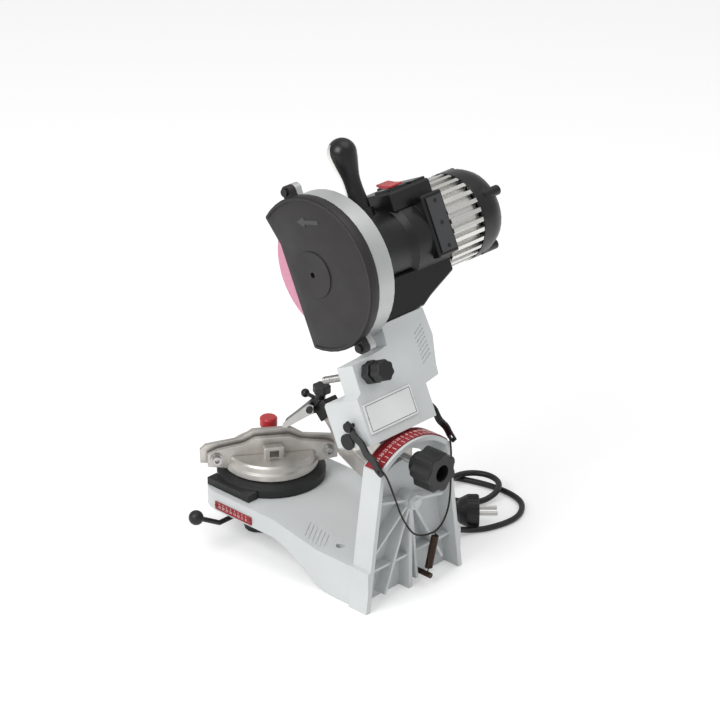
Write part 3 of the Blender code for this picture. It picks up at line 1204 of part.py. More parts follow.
def return_gear():
    """A cable runs down from both straps to a coil spring on the anchor bar."""
    tube("return_cable", smooth_route(CABLE_ROUTE, CABLE_STEP), WIRE_RADIUS, STAND,
         BLACK_PLASTIC, 1)
    top = Vector(SPRING_TOP)
    foot = Vector(SPRING_FOOT)
    axis = (foot - top).normalized()
    side = axis.orthogonal().normalized()
    other = axis.cross(side)
    middle_radius = SPRING_RADIUS - SPRING_WIRE
    count = SPRING_TURNS * SPRING_POINTS
    inset = 2 * SPRING_WIRE
    run = (foot - top).length - 2 * inset
    points = []
    for index in range(count + 1):
        angle = 2 * math.pi * index / SPRING_POINTS
        along = axis * (inset + run * index / count)
        points.append(top + along + (side * math.cos(angle) + other * math.sin(angle))
                      * middle_radius)
    points = [Vector(SPRING_HOOK_TOP), top] + points + [foot, Vector(SPRING_HOOK_FOOT)]
    tube("return_spring", points, SPRING_WIRE, STAND, BROWN_STEEL, 1)
    pitch = run / SPRING_TURNS
    print("spring: gap between curls in mm", round((pitch - 2 * SPRING_WIRE) * 1000, 2))


return_gear()

STOP_ARM_SIDE = ((-0.0278, 0.078), (-0.0278, 0.0955), (-0.094, 0.0985), (-0.112, 0.107),
                 (-0.1495, 0.1445), (-0.1600, 0.1340), (-0.1440, 0.1180),
                 (-0.1310, 0.0935),
                 (-0.1090, 0.0830), (-0.0980, 0.0790))
STOP_ARM_RANGE = (-0.047, -0.033)
STOP_CORNER = (-0.15475, 0.13925)
CAP_BACK = 0.011
CAP_FRONT = 0.006
CAP_HALF = 0.0104
CAP_RANGE = (-0.050, -0.030)
POCKET_HALF = 0.0079
POCKET_RANGE = (-0.0475, -0.0325)
STOP_ORIGIN = (-0.040, -0.161, 0.139)
STOP_TURN = math.radians(35.5)
STOP_SIDE = ((0.002, 0.008), (-0.008, 0.008), (-0.030, -0.013), (-0.0405, -0.0225),
             (-0.0405, -0.0250), (-0.036, -0.0253), (-0.022, -0.0150), (-0.008, -0.008),
             (0.002, -0.008))
STOP_HALF = 0.006
PAWL_SIDE = ((-0.0085, 0.0030), (-0.0140, 0.0035), (-0.0410, -0.0205),
             (-0.0420, -0.0245), (-0.0380, -0.0253), (-0.0120, -0.0080),
             (-0.0085, -0.0055))
PAWL_RANGE = (0.0088, 0.0108)
PAWL_PIVOT = (-0.0125, -0.0020)
PAWL_PIN_RADIUS = 0.0020
PAWL_PIN_HEAD = 0.0036
PAWL_PIN_END = 0.0132
TOP_KNOB_AT = (-0.040, -0.1625)
TOP_KNOB_RADIUS = 0.0100
TOP_KNOB_Z = (0.1525, 0.1615)
TOP_STUD_RADIUS = 0.0028
TOP_STUD_END = 0.1590
TOP_KNOB_BORE_END = 0.1595
MID_STUD = ((-0.040, -0.164, 0.1425), (-0.040, -0.187, 0.1435))
MID_STUD_RADIUS = 0.0022
MID_KNOB_RADIUS = 0.0048


def slanted(back, front, half):
    """A box round the end of the stop arm, which rises forward at 45 degrees."""
    along = Vector((-1, 1)).normalized()
    across = Vector((1, 1)).normalized()
    centre = Vector(STOP_CORNER)
    corners = [centre - along * back - across * half, centre + along * front - across * half,
               centre + along * front + across * half, centre - along * back + across * half]
    return [tuple(corner) for corner in corners]


def chain_stop():
    """An arm from the bracket holds the stop and the pawl that the chain rests against."""
    smooth(outline("stop_arm", STOP_ARM_SIDE, *STOP_ARM_RANGE, "X", STAND, BARE_ALUMINIUM))
    body = outline("stop_body", slanted(CAP_BACK, CAP_FRONT, CAP_HALF), *CAP_RANGE, "X",
                   STAND, BLACK_PLASTIC)
    bevel(body, RUN_GAP)
    stop = frame("stop_frame", STOP_ORIGIN, (0, 0, STOP_TURN))
    join(body, outline("stop_beak", STOP_SIDE, -STOP_HALF, STOP_HALF, "X", stop, None,
                       CUTTERS))
    start = (0, *PAWL_PIVOT)
    join(body, rod("pawl_pin", PAWL_PIN_RADIUS, start, (PAWL_PIN_END, *PAWL_PIVOT), stop,
                   None, CUTTERS, 16))
    join(body, rod("pawl_pin_head", PAWL_PIN_HEAD, (PAWL_RANGE[1] + GAP, *PAWL_PIVOT),
                   (PAWL_PIN_END, *PAWL_PIVOT), stop, None, CUTTERS, 16))
    join(body, rod("top_stud", TOP_STUD_RADIUS, (*TOP_KNOB_AT, STOP_ORIGIN[2]),
                   (*TOP_KNOB_AT, TOP_STUD_END), STAND, None, CUTTERS, 16))
    join(body, rod("mid_stud", MID_STUD_RADIUS, *MID_STUD, STAND, None, CUTTERS, 14))
    join(body, ball("mid_knob", MID_KNOB_RADIUS, MID_STUD[1], STAND, None, CUTTERS, 16))
    cut(body, outline("stop_pocket", slanted(2 * CAP_BACK, GAP, POCKET_HALF), *POCKET_RANGE,
                      "X", STAND, None, CUTTERS))
    smooth(body)
    pawl = outline("stop_pawl", PAWL_SIDE, *PAWL_RANGE, "X", stop, STEEL)
    cut(pawl, rod("pawl_hole", PAWL_PIN_RADIUS + GAP, (0, *PAWL_PIVOT),
                  (2 * PAWL_PIN_END, *PAWL_PIVOT), stop, None, CUTTERS, 16))
    smooth(pawl)
    knob = outline("stop_knob", move(lobed(TOP_KNOB_RADIUS, TOP_KNOB_RADIUS / 6, 6, 4),
                                     *TOP_KNOB_AT), *TOP_KNOB_Z, "Z", STAND, BLACK_PLASTIC)
    bevel(knob, RUN_GAP)
    cut(knob, rod("stop_knob_bore", TOP_STUD_RADIUS + GAP, (*TOP_KNOB_AT, STOP_ORIGIN[2]),
                  (*TOP_KNOB_AT, TOP_KNOB_BORE_END), STAND, None, CUTTERS, 16))
    smooth(knob)


chain_stop()

GLAND_PROFILE = ((0.0037, -0.0694), (0.0070, -0.0694), (0.0070, -0.0735),
                 (0.0061, -0.0745), (0.0048, -0.0950), (0.0037, -0.0950),
                 (0.0037, -0.0694))
GLAND_AT = (-0.030, 0.014)
LEAD_ROUTE = ((-0.0710, -0.0300, 0.0140), (-0.0960, -0.0300, 0.0140),
              (-0.1120, -0.0318, 0.0096), (-0.1268, -0.0290, 0.0046),
              (-0.1400, -0.0212, 0.0035), (-0.1549, -0.0156, 0.0035),
              (-0.1705, -0.0126, 0.0035), (-0.1863, -0.0135, 0.0035),
              (-0.2006, -0.0201, 0.0035), (-0.2120, -0.0310, 0.0035),
              (-0.2178, -0.0456, 0.0035), (-0.2195, -0.0614, 0.0035),
              (-0.2183, -0.0772, 0.0035), (-0.2149, -0.0927, 0.0035),
              (-0.2100, -0.1078, 0.0035), (-0.2041, -0.1225, 0.0035),
              (-0.1965, -0.1365, 0.0035), (-0.1870, -0.1492, 0.0035),
              (-0.1764, -0.1611, 0.0035), (-0.1654, -0.1725, 0.0035))
LOOP_ROUTE = ((-0.1310, -0.1138, 0.0177), (-0.1480, -0.1134, 0.0172),
              (-0.1650, -0.1136, 0.0150), (-0.1820, -0.1137, 0.0125),
              (-0.1975, -0.1137, 0.0110), (-0.2090, -0.1112, 0.0107),
              (-0.2183, -0.1040, 0.0106), (-0.2238, -0.0935, 0.0106),
              (-0.2243, -0.0818, 0.0106), (-0.2198, -0.0709, 0.0106),
              (-0.2111, -0.0629, 0.0100), (-0.1999, -0.0594, 0.0080),
              (-0.1882, -0.0609, 0.0055), (-0.1800, -0.0657, 0.0040),
              (-0.1743, -0.0723, 0.0035), (-0.1614, -0.0941, 0.0035),
              (-0.1540, -0.1019, 0.0038), (-0.1435, -0.1063, 0.0050),
              (-0.1321, -0.1058, 0.0070), (-0.1219, -0.1005, 0.0095),
              (-0.1150, -0.0915, 0.0120), (-0.1125, -0.0803, 0.0145),
              (-0.1144, -0.0704, 0.0165), (-0.1193, -0.0626, 0.0176))
LEAD_STEP = 0.010
COIL_CENTRE = (-0.124, -0.156)
COIL_OUTER = 0.041
COIL_PITCH = 0.0071
COIL_LOW_Z = 0.0035
COIL_START = math.radians(225)
COIL_LAYER_TURNS = 2.0
COIL_CLIMB_TURNS = 0.25
COIL_ALL_TURNS = 4.597
COIL_POINTS = 20
PLUG_FACE = (-0.1472, -0.0341, 0.0180)
PLUG_WAY = (-0.695, 0.719, 0)
PLUG_PROFILE = ((0, 0), (0.0165, 0), (0.0175, -0.001), (0.0175, -0.013), (0.0135, -0.021),
                (0.0070, -0.026), (0.0055, -0.034), (0.0037, -0.034), (0.0037, -0.024),
                (0, -0.024))
PLUG_CORD_END = -0.0246
PLUG_CORD_STRAIGHT = -0.037
PLUG_PIN_TILT = math.radians(10)
PLUG_PIN_HALF = 0.0095


def coil_points():
    """Two turns in on the floor, two out on top of them, and off on a third layer."""
    count = round(COIL_ALL_TURNS * COIL_POINTS)
    layer = COIL_LAYER_TURNS
    climb = COIL_CLIMB_TURNS
    points = []
    for index in range(count + 1):
        turn = COIL_ALL_TURNS * index / count
        back = min(max(0.0, turn - layer - climb), layer)
        radius = COIL_OUTER - COIL_PITCH * (min(turn, layer) - back)
        level_shares = (turn - layer) / climb, (turn - 2 * layer - climb) / climb
        level = sum(min(1.0, max(0.0, share)) for share in level_shares)
        angle = COIL_START + turn * 2 * math.pi
        points.append(Vector((COIL_CENTRE[0] + radius * math.cos(angle),
                              COIL_CENTRE[1] + radius * math.sin(angle),
                              COIL_LOW_Z + COIL_PITCH * level)))
    return points


def mains():
    """Gland, one lead with its coil and loops, and a round plug with two pins."""
    gland = turned("cord_gland", GLAND_PROFILE, (0, *GLAND_AT), "X", STAND, RUBBER,
                   steps=24)
    smooth(gland)
    face = Vector(PLUG_FACE)
    way = Vector(PLUG_WAY).normalized()
    coil = coil_points()
    tail = list(LOOP_ROUTE) + [face + way * PLUG_CORD_STRAIGHT, face + way * PLUG_CORD_END]
    first = smooth_route(list(LEAD_ROUTE) + coil[:2], LEAD_STEP)[:-2]
    last = smooth_route(coil[-2:] + tail, LEAD_STEP)[2:]
    points = first + coil[1:-1] + last
    tube("mains_lead", points, CORD_RADIUS, STAND, RUBBER, 1)
    steps = zip(points, points[1:])
    length = sum((Vector(after) - Vector(before)).length for before, after in steps)
    print("mains lead: length in metres", round(length, 2))
    turn = way.to_track_quat("Z", "Y").to_euler()
    plug_frame = frame("plug_frame", face, turn)
    smooth(turned("mains_plug", PLUG_PROFILE, (0, 0, 0), "Z", plug_frame, RUBBER,
                  steps=28))
    level = Vector((-way.y, way.x, 0)) * math.cos(PLUG_PIN_TILT)
    apart = (level - Vector((0, 0, math.sin(PLUG_PIN_TILT)))) * PLUG_PIN_HALF
    for number, side in enumerate((1, -1), 1):
        start = face + way * GAP + apart * side
        rod(f"plug_pin_{number}", PLUG_PIN_RADIUS, start, start + way * PLUG_PIN_LENGTH,
            STAND, STEEL, segments=16)


mains()
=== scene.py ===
# %% [markdown]
# # A bench grinder for saw chains
# A motor head with a thin wheel swings down over a small vise that holds the chain.
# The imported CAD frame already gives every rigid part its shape, place and joint. This
# lesson dresses that frame: paint with orange peel, cast metal with scuffs, a lead that
# lies on the floor, a finely wound spring, scale marks and the small hardware that a
# hand would find. Every length is in metres.

import json
import math

import bmesh
import bpy
from mathutils import Matrix, Vector

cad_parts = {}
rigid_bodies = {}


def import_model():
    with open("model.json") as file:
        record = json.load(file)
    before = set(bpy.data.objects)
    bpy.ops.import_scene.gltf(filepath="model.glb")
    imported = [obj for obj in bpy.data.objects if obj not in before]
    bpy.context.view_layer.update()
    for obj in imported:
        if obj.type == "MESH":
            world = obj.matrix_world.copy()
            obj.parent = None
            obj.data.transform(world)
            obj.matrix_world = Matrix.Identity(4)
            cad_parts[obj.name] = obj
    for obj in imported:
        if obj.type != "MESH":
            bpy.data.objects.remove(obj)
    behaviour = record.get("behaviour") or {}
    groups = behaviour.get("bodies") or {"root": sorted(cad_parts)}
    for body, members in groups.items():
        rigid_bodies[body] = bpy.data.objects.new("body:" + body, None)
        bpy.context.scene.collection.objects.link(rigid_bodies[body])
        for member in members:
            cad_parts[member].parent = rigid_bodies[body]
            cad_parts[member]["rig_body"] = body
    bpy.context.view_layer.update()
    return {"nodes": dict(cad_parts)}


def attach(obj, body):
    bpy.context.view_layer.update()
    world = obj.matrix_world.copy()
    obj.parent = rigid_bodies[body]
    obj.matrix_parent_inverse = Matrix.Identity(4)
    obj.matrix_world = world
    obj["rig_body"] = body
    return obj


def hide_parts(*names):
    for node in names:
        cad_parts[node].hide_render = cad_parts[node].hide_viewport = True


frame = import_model()
NODES = frame["nodes"]
print("parts in the frame:", len(NODES))

# %% [markdown]
# ## The camera
# The photo was taken from far away with a long lens, from behind and above the machine,
# so that nothing looks stretched. A camera could be turned by hand until it looks right.
# Here its direction was worked out from points of the machine whose places are known,
# and it looks along that direction from three metres.

# %% Camera
VIEW_TARGET = Vector((0.01767, -0.05114, 0.2474))
VIEW_BACK = Vector((0.6482, 0.6259, 0.4337))
VIEW_DISTANCE = 3.0
FOCAL_LENGTH = 150
SENSOR_WIDTH = 36

lens = bpy.data.cameras.new("photo_camera")
lens.lens = FOCAL_LENGTH
lens.sensor_width = SENSOR_WIDTH
camera = bpy.data.objects.new("photo_camera", lens)
camera.location = VIEW_TARGET + VIEW_BACK * VIEW_DISTANCE
camera.rotation_euler = VIEW_BACK.to_track_quat("Z", "Y").to_euler()
scene = bpy.context.scene
scene.collection.objects.link(camera)
scene.camera = camera
scene.view_settings.view_transform = "Standard"
print("camera at", [round(value, 3) for value in camera.location])

# %% [markdown]
# ## Small helpers for meshes
# A piece is a mesh whose points already stand where the piece stands, on an object that
# isn't moved. One helper makes such an object, and one makes a mesh from points and
# faces. It merges doubled points and turns all faces outwards, and edges sharper than an
# angle stay crisp.

# %% Helpers for meshes
EPSILON = 1e-6


def piece(name, mesh, body, finish_of_piece):
    """An object that carries a finished mesh and rides on a body of the frame."""
    made = bpy.data.objects.new(name, mesh)
    scene.collection.objects.link(made)
    mesh.materials.clear()
    mesh.materials.append(finish_of_piece)
    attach(made, body)
    return made


def mesh_from(name, points, faces, smooth_angle=None):
    mesh = bpy.data.meshes.new(name)
    mesh.from_pydata([tuple(point) for point in points], [], faces)
    work = bmesh.new()
    work.from_mesh(mesh)
    bmesh.ops.remove_doubles(work, verts=work.verts, dist=EPSILON)
    bmesh.ops.recalc_face_normals(work, faces=work.faces)
    work.to_mesh(mesh)
    work.free()
    if smooth_angle is not None:
        mesh.shade_smooth()
        mesh.set_sharp_from_angle(angle=math.radians(smooth_angle))
    return mesh


print("helpers for meshes ready")

# %% [markdown]
# ## A lathe, a bar and a joint
# Knobs, bushes and grips are turned from a profile on a lathe, because that is how the
# real ones or their moulds were made. Plain bars serve as thin edges. Small parts that
# belong together are joined to one mesh, which keeps the list of pieces short.

# %% A lathe, a bar and a joint
def lathe(name, profile, place, steps=48, smooth_angle=35):
    """A closed profile of (radius, height) turned round the height axis, then placed."""
    points, faces = [], []
    for step in range(steps):
        angle = 2 * math.pi * step / steps
        for radius, height in profile:
            points.append(place @ Vector((radius * math.cos(angle),
                                          radius * math.sin(angle), height)))
    count = len(profile)
    for step in range(steps):
        after = (step + 1) % steps
        for row in range(count - 1):
            corners = [step * count + row, after * count + row,
                       after * count + row + 1, step * count + row + 1]
            if profile[row][0] < EPSILON:
                corners.remove(after * count + row)
            if profile[row + 1][0] < EPSILON:
                corners.remove(after * count + row + 1)
            faces.append(corners)
    return mesh_from(name, points, faces, smooth_angle)


def bar(low, high, place):
    """A plain bar between two corners, then placed."""
    work = bmesh.new()
    bmesh.ops.create_cube(work, size=1)
    size = Vector(high) - Vector(low)
    middle = (Vector(high) + Vector(low)) / 2
    for vert in work.verts:
        vert.co = Vector([a * b for a, b in zip(vert.co, size)]) + middle
    work.transform(place)
    mesh = bpy.data.meshes.new("bar")
    work.to_mesh(mesh)
    work.free()
    return mesh


def joined(name, meshes, smooth_angle=35):
    """Several meshes as one. The joints between them stay sharp."""
    work = bmesh.new()
    for mesh in meshes:
        work.from_mesh(mesh)
    made = bpy.data.meshes.new(name)
    work.to_mesh(made)
    work.free()
    made.shade_smooth()
    made.set_sharp_from_angle(angle=math.radians(smooth_angle))
    return made


def toward(origin, direction, up=(0, 0, 1)):
    """A place whose height axis points along a direction."""
    axis = Vector(direction).normalized()
    side = Vector(up).cross(axis)
    if side.length < EPSILON:
        side = Vector((1, 0, 0))
    side.normalize()
    across = axis.cross(side)
    turn = Matrix((side, across, axis)).transposed().to_4x4()
    return Matrix.Translation(Vector(origin)) @ turn


print("lathe, bar and joint ready")

# %% [markdown]
# ## Two frames of the machine
# Many parts of the head are square to the leaning arm and not to the bench. It is easier
# to measure along the arm, so these matrices carry a point given along the arm, or from
# the wheel's centre, to where it stands on the bench.

# %% Frames of the arm and the head
ARM_LEAN = math.radians(25.3)
HINGE_AT = (0, -0.038, 0.1715)
HEAD_ABOVE_HINGE = 0.1686
ARM = Matrix.Translation(HINGE_AT) @ Matrix.Rotation(ARM_LEAN, 4, "X")
HEAD = ARM @ Matrix.Translation((0, 0, HEAD_ABOVE_HINGE))
print("wheel centre", [round(value, 4) for value in HEAD.translation])

# %% [markdown]
# ## Helpers for trees
# Rows of marks, ribs and fins repeat by a rule, and wires follow a path. Geometry Nodes
# state such a rule once, with its sizes as named inputs. This cell holds the helpers
# that every tree here needs: a new tree with its inputs, links, a sum, and the end that
# makes the copies real and gives them their finish.

# %% Helpers for trees
def new_tree(name, inputs):
    tree = bpy.data.node_groups.new(name, "GeometryNodeTree")
    face = tree.interface
    face.new_socket("Geometry", in_out="INPUT", socket_type="NodeSocketGeometry")
    for label, kind in inputs:
        face.new_socket(label, in_out="INPUT", socket_type="NodeSocket" + kind)
    face.new_socket("Geometry", in_out="OUTPUT", socket_type="NodeSocketGeometry")
    return tree, tree.nodes.new("NodeGroupInput"), tree.nodes.new("NodeGroupOutput")


def link(tree, *pairs):
    """Joins sockets, given as pairs of where a line starts and where it ends."""
    for start, end in pairs:
        tree.links.new(start, end)


def maths(tree, operation, first, second):
    step = tree.nodes.new("ShaderNodeMath")
    step.operation = operation
    for number, value in enumerate((first, second)):
        if isinstance(value, (int, float)):
            step.inputs[number].default_value = value
        else:
            tree.links.new(value, step.inputs[number])
    return step.outputs[0]


def end_tree(tree, given, result, geometry):
    real = tree.nodes.new("GeometryNodeRealizeInstances")
    paint = tree.nodes.new("GeometryNodeSetMaterial")
    link(tree, (geometry, real.inputs["Geometry"]),
         (real.outputs["Geometry"], paint.inputs["Geometry"]),
         (given.outputs["Material"], paint.inputs["Material"]),
         (paint.outputs["Geometry"], result.inputs["Geometry"]))


print("tree helpers ready")

# %% [markdown]
# ## A wire along a path
# Springs, strands and screw threads are all round wire that follows a line in space. The
# tree takes a mesh of bare edges, makes a curve of it and sweeps a circle along it, with
# closed ends.

# %% A wire along a path
def wire_tree():
    """A round section swept along the edges of the mesh it is given."""
    tree, given, result = new_tree("wire_along_path", [
        ("Wire radius", "Float"), ("Sides", "Int"), ("Material", "Material")])
    path = tree.nodes.new("GeometryNodeMeshToCurve")
    section = tree.nodes.new("GeometryNodeCurvePrimitiveCircle")
    sweep = tree.nodes.new("GeometryNodeCurveToMesh")
    link(tree, (given.outputs["Geometry"], path.inputs["Mesh"]),
         (given.outputs["Wire radius"], section.inputs["Radius"]),
         (given.outputs["Sides"], section.inputs["Resolution"]),
         (path.outputs["Curve"], sweep.inputs["Curve"]),
         (section.outputs["Curve"], sweep.inputs["Profile Curve"]))
    sweep.inputs["Fill Caps"].default_value = True
    end_tree(tree, given, result, sweep.outputs["Mesh"])
    return tree


WIRE = wire_tree()
print("tree:", WIRE.name)

# %% [markdown]
# ## Bars round an arc and in a row
# Marks on a scale, ribs on a plug and ridges on a casting are the same small bar, again
# and again. One tree sets it round an arc, turned to face outwards, and the other along
# a straight line. Each copy is an instance until the end of the tree makes it real.

# %% Bars round an arc and in a row
def set_bars(tree, given, result, points, turn):
    """Ends a tree with a bar on each point."""
    shape = tree.nodes.new("GeometryNodeMeshCube")
    copies = tree.nodes.new("GeometryNodeInstanceOnPoints")
    link(tree, (given.outputs["Bar size"], shape.inputs["Size"]),
         (points, copies.inputs["Points"]),
         (shape.outputs["Mesh"], copies.inputs["Instance"]),
         (turn, copies.inputs["Rotation"]))
    end_tree(tree, given, result, copies.outputs["Instances"])


def arc_tree():
    """Bars round an arc in the X and Z plane, each turned to face outwards."""
    tree, given, result = new_tree("bars_round_arc", [
        ("Count", "Int"), ("Arc radius", "Float"), ("First angle", "Float"),
        ("Angle step", "Float"), ("Bar size", "Vector"), ("Material", "Material")])
    row = tree.nodes.new("GeometryNodeMeshLine")
    link(tree, (given.outputs["Count"], row.inputs["Count"]))
    index = tree.nodes.new("GeometryNodeInputIndex").outputs[0]
    angle = maths(tree, "ADD", maths(tree, "MULTIPLY", index, given.outputs["Angle step"]),
                  given.outputs["First angle"])
    spot = tree.nodes.new("ShaderNodeCombineXYZ")
    reach = given.outputs["Arc radius"]
    for operation, label in (("SINE", "X"), ("COSINE", "Z")):
        share = maths(tree, operation, angle, 0)
        link(tree, (maths(tree, "MULTIPLY", share, reach), spot.inputs[label]))
    move = tree.nodes.new("GeometryNodeSetPosition")
    link(tree, (row.outputs["Mesh"], move.inputs["Geometry"]),
         (spot.outputs["Vector"], move.inputs["Position"]))
    turn = tree.nodes.new("ShaderNodeCombineXYZ")
    link(tree, (angle, turn.inputs["Y"]))
    set_bars(tree, given, result, move.outputs["Geometry"], turn.outputs["Vector"])
    return tree


def row_tree():
    """Bars along a line, each with the same size and turn."""
    tree, given, result = new_tree("bars_in_row", [
        ("Count", "Int"), ("Step", "Vector"), ("Bar size", "Vector"),
        ("Bar turn", "Vector"), ("Material", "Material")])
    row = tree.nodes.new("GeometryNodeMeshLine")
    link(tree, (given.outputs["Count"], row.inputs["Count"]),
         (given.outputs["Step"], row.inputs["Offset"]))
    set_bars(tree, given, result, row.outputs["Mesh"], given.outputs["Bar turn"])
    return tree


ARC_BARS = arc_tree()
ROW_BARS = row_tree()
print("trees:", ARC_BARS.name, ROW_BARS.name)

# %% [markdown]
# ## From tree to plain mesh
# A modifier runs a tree on an object. Here it runs on a carrier that is thrown away, and
# only its result is kept, as a mesh that any later step can move or join. Inputs are set
# by their identifier before the first evaluation, because a name alone isn't enough.

# %% From tree to plain mesh
def run_tree(name, tree, values, place=Matrix.Identity(4), start=None, smooth_angle=None):
    """Runs a tree once and hands back its result as a plain mesh, put in its place."""
    base = start or bpy.data.meshes.new(name + "_start")
    carrier = bpy.data.objects.new(name + "_carrier", base)
    scene.collection.objects.link(carrier)
    modifier = carrier.modifiers.new("rule", "NODES")
    modifier.node_group = tree
    for item in tree.interface.items_tree:
        if item.item_type == "SOCKET" and item.in_out == "INPUT" and item.name in values:
            modifier[item.identifier] = values[item.name]
    graph = bpy.context.evaluated_depsgraph_get()
    graph.update()
    made = bpy.data.meshes.new_from_object(carrier.evaluated_get(graph))
    made.name = name
    bpy.data.objects.remove(carrier)
    made.transform(place)
    if smooth_angle is not None:
        made.shade_smooth()
        made.set_sharp_from_angle(angle=math.radians(smooth_angle))
    return made


def path_mesh(name, points):
    mesh = bpy.data.meshes.new(name)
    edges = [(number, number + 1) for number in range(len(points) - 1)]
    mesh.from_pydata([tuple(point) for point in points], edges, [])
    return mesh


def wire(name, points, radius, finish_of_wire, sides=10):
    return run_tree(name, WIRE, {"Wire radius": radius, "Sides": sides,
                                 "Material": finish_of_wire},
                    start=path_mesh(name + "_path", points), smooth_angle=50)


print("trees can run")

# %% [markdown]
# ## How a finish is built
# No real surface is one flat colour. Paint has orange peel, castings have grain, moulded
# plastic has a fine leather texture, and hands and tools polish the edges. Each finish
# here has four layers: a slow change of colour, a slower change of gloss, a fine bump,
# and a lighter tone where the surface turns sharply. The Bevel node finds such edges and
# also rounds them a little for the light, as no made edge is ever razor sharp.

# %% How a finish is built
COAT_ROUGHNESS = 0.25
BEVEL_SAMPLES = 4
EDGE_STARTS, EDGE_FULL = 0.985, 0.86
WEAR_SCALE = 120.0
GLOSS_SCALE = 45.0


def noise(tree, scale, detail, vector):
    made = tree.nodes.new("ShaderNodeTexNoise")
    made.inputs["Scale"].default_value = scale
    made.inputs["Detail"].default_value = detail
    tree.links.new(vector, made.inputs["Vector"])
    return made.outputs["Fac"]


def span(tree, value, low, high, to_low, to_high):
    made = tree.nodes.new("ShaderNodeMapRange")
    for label, number in (("From Min", low), ("From Max", high), ("To Min", to_low),
                          ("To Max", to_high)):
        made.inputs[label].default_value = number
    tree.links.new(value, made.inputs["Value"])
    return made.outputs["Result"]


def blend_colours(tree, share, first, second):
    made = tree.nodes.new("ShaderNodeMix")
    made.data_type = "RGBA"
    tree.links.new(share, made.inputs["Factor"])
    for socket, colour in ((made.inputs[6], first), (made.inputs[7], second)):
        if isinstance(colour, tuple):
            socket.default_value = (*colour, 1)
        else:
            tree.links.new(colour, socket)
    return made.outputs[2]


def finish(name, colour, rough, metal=0.0, grain=900.0, depth=0.00003, mottle=0.12,
           gloss=0.07, edge=None, edge_share=0.55, rounding=0.0007, coat=0.0,
           stretch=(1, 1, 1), patch=22.0):
    """A paint, metal or plastic with mottling, uneven gloss, grain and worn edges."""
    made = bpy.data.materials.new(name)
    made.use_nodes = True
    tree = made.node_tree
    shader = tree.nodes["Principled BSDF"]
    shader.inputs["Metallic"].default_value = metal
    shader.inputs["Coat Weight"].default_value = coat
    shader.inputs["Coat Roughness"].default_value = COAT_ROUGHNESS
    where = tree.nodes.new("ShaderNodeTexCoord").outputs["Object"]
    scaled = tree.nodes.new("ShaderNodeMapping")
    scaled.inputs["Scale"].default_value = stretch
    tree.links.new(where, scaled.inputs["Vector"])
    slow = noise(tree, patch, 5, scaled.outputs["Vector"])
    fine = noise(tree, grain, 3, scaled.outputs["Vector"])
    dark = tuple(channel * (1 - mottle) for channel in colour)
    light = tuple(min(1, channel * (1 + mottle)) for channel in colour)
    base = blend_colours(tree, span(tree, slow, 0.3, 0.7, 0, 1), dark, light)
    soft = tree.nodes.new("ShaderNodeBevel")
    soft.samples = BEVEL_SAMPLES
    soft.inputs["Radius"].default_value = rounding
    if edge:
        true = tree.nodes.new("ShaderNodeNewGeometry").outputs["True Normal"]
        dot = tree.nodes.new("ShaderNodeVectorMath")
        dot.operation = "DOT_PRODUCT"
        link(tree, (soft.outputs["Normal"], dot.inputs[0]), (true, dot.inputs[1]))
        turned_share = span(tree, dot.outputs["Value"], EDGE_STARTS, EDGE_FULL, 0,
                            edge_share)
        broken = span(tree, noise(tree, WEAR_SCALE, 4, where), 0.4, 0.6, 0.15, 1)
        worn = maths(tree, "MULTIPLY", turned_share, broken)
        base = blend_colours(tree, worn, base, edge)
    tree.links.new(base, shader.inputs["Base Color"])
    tree.links.new(span(tree, noise(tree, GLOSS_SCALE, 4, where), 0.3, 0.7,
                        rough - gloss, rough + gloss), shader.inputs["Roughness"])
    bump = tree.nodes.new("ShaderNodeBump")
    bump.inputs["Distance"].default_value = depth
    bump.inputs["Strength"].default_value = 1.0
    link(tree, (fine, bump.inputs["Height"]),
         (soft.outputs["Normal"], bump.inputs["Normal"]),
         (bump.outputs["Normal"], shader.inputs["Normal"]))
    return made


print("finish maker ready")

# %% [markdown]
# ## The finishes of the machine
# The castings wear a pale grey paint with a soft orange peel. The vise stays bare cast
# metal, brushed only by use. The blacks differ by touch: the motor is smooth, the cover
# is a dull charcoal, and knobs and lead are softer. The stone is pink and open, so it is
# rough with hardly any gloss. The colours were judged beside the photo.

# %% The finishes of the machine
CAST_PAINT = finish("grey_cast_paint", (0.64, 0.668, 0.668), 0.38, grain=420,
                    depth=0.00009, mottle=0.035, edge=(0.72, 0.75, 0.76), coat=0.15)
GUARD_PAINT = finish("silver_guard_metal", (0.55, 0.56, 0.56), 0.38, metal=0.55,
                     grain=700, depth=0.00004, mottle=0.05, edge=(0.75, 0.76, 0.76))
BLACK = finish("black_moulding", (0.0045, 0.0045, 0.005), 0.33, grain=1500,
               depth=0.00003, mottle=0.2, edge=(0.03, 0.03, 0.031), edge_share=0.4)
COVER = finish("charcoal_cover", (0.017, 0.0145, 0.015), 0.50, grain=1800,
               depth=0.00004, mottle=0.1, edge=(0.05, 0.046, 0.046), edge_share=0.35)
KNOB = finish("black_knob_plastic", (0.009, 0.009, 0.0095), 0.5, grain=1300,
              depth=0.00006, mottle=0.15, edge=(0.07, 0.07, 0.07), edge_share=0.45)
LID = finish("grey_lid_plastic", (0.052, 0.053, 0.056), 0.5, grain=1500,
             depth=0.00003, mottle=0.08, edge=(0.12, 0.12, 0.12), edge_share=0.3)
RUBBER = finish("black_rubber", (0.006, 0.006, 0.0065), 0.42, grain=900,
                depth=0.00003, mottle=0.15, rounding=0.0003)
CAST_METAL = finish("bare_cast_metal", (0.60, 0.575, 0.545), 0.40, metal=0.85,
                    grain=650, depth=0.00007, mottle=0.16, gloss=0.10,
                    edge=(0.85, 0.84, 0.82), patch=38.0)
FIN_METAL = finish("bright_fin_metal", (0.80, 0.795, 0.77), 0.27, metal=0.9,
                   grain=800, depth=0.00003, mottle=0.06, edge=(0.9, 0.9, 0.88),
                   stretch=(0.1, 1, 1))
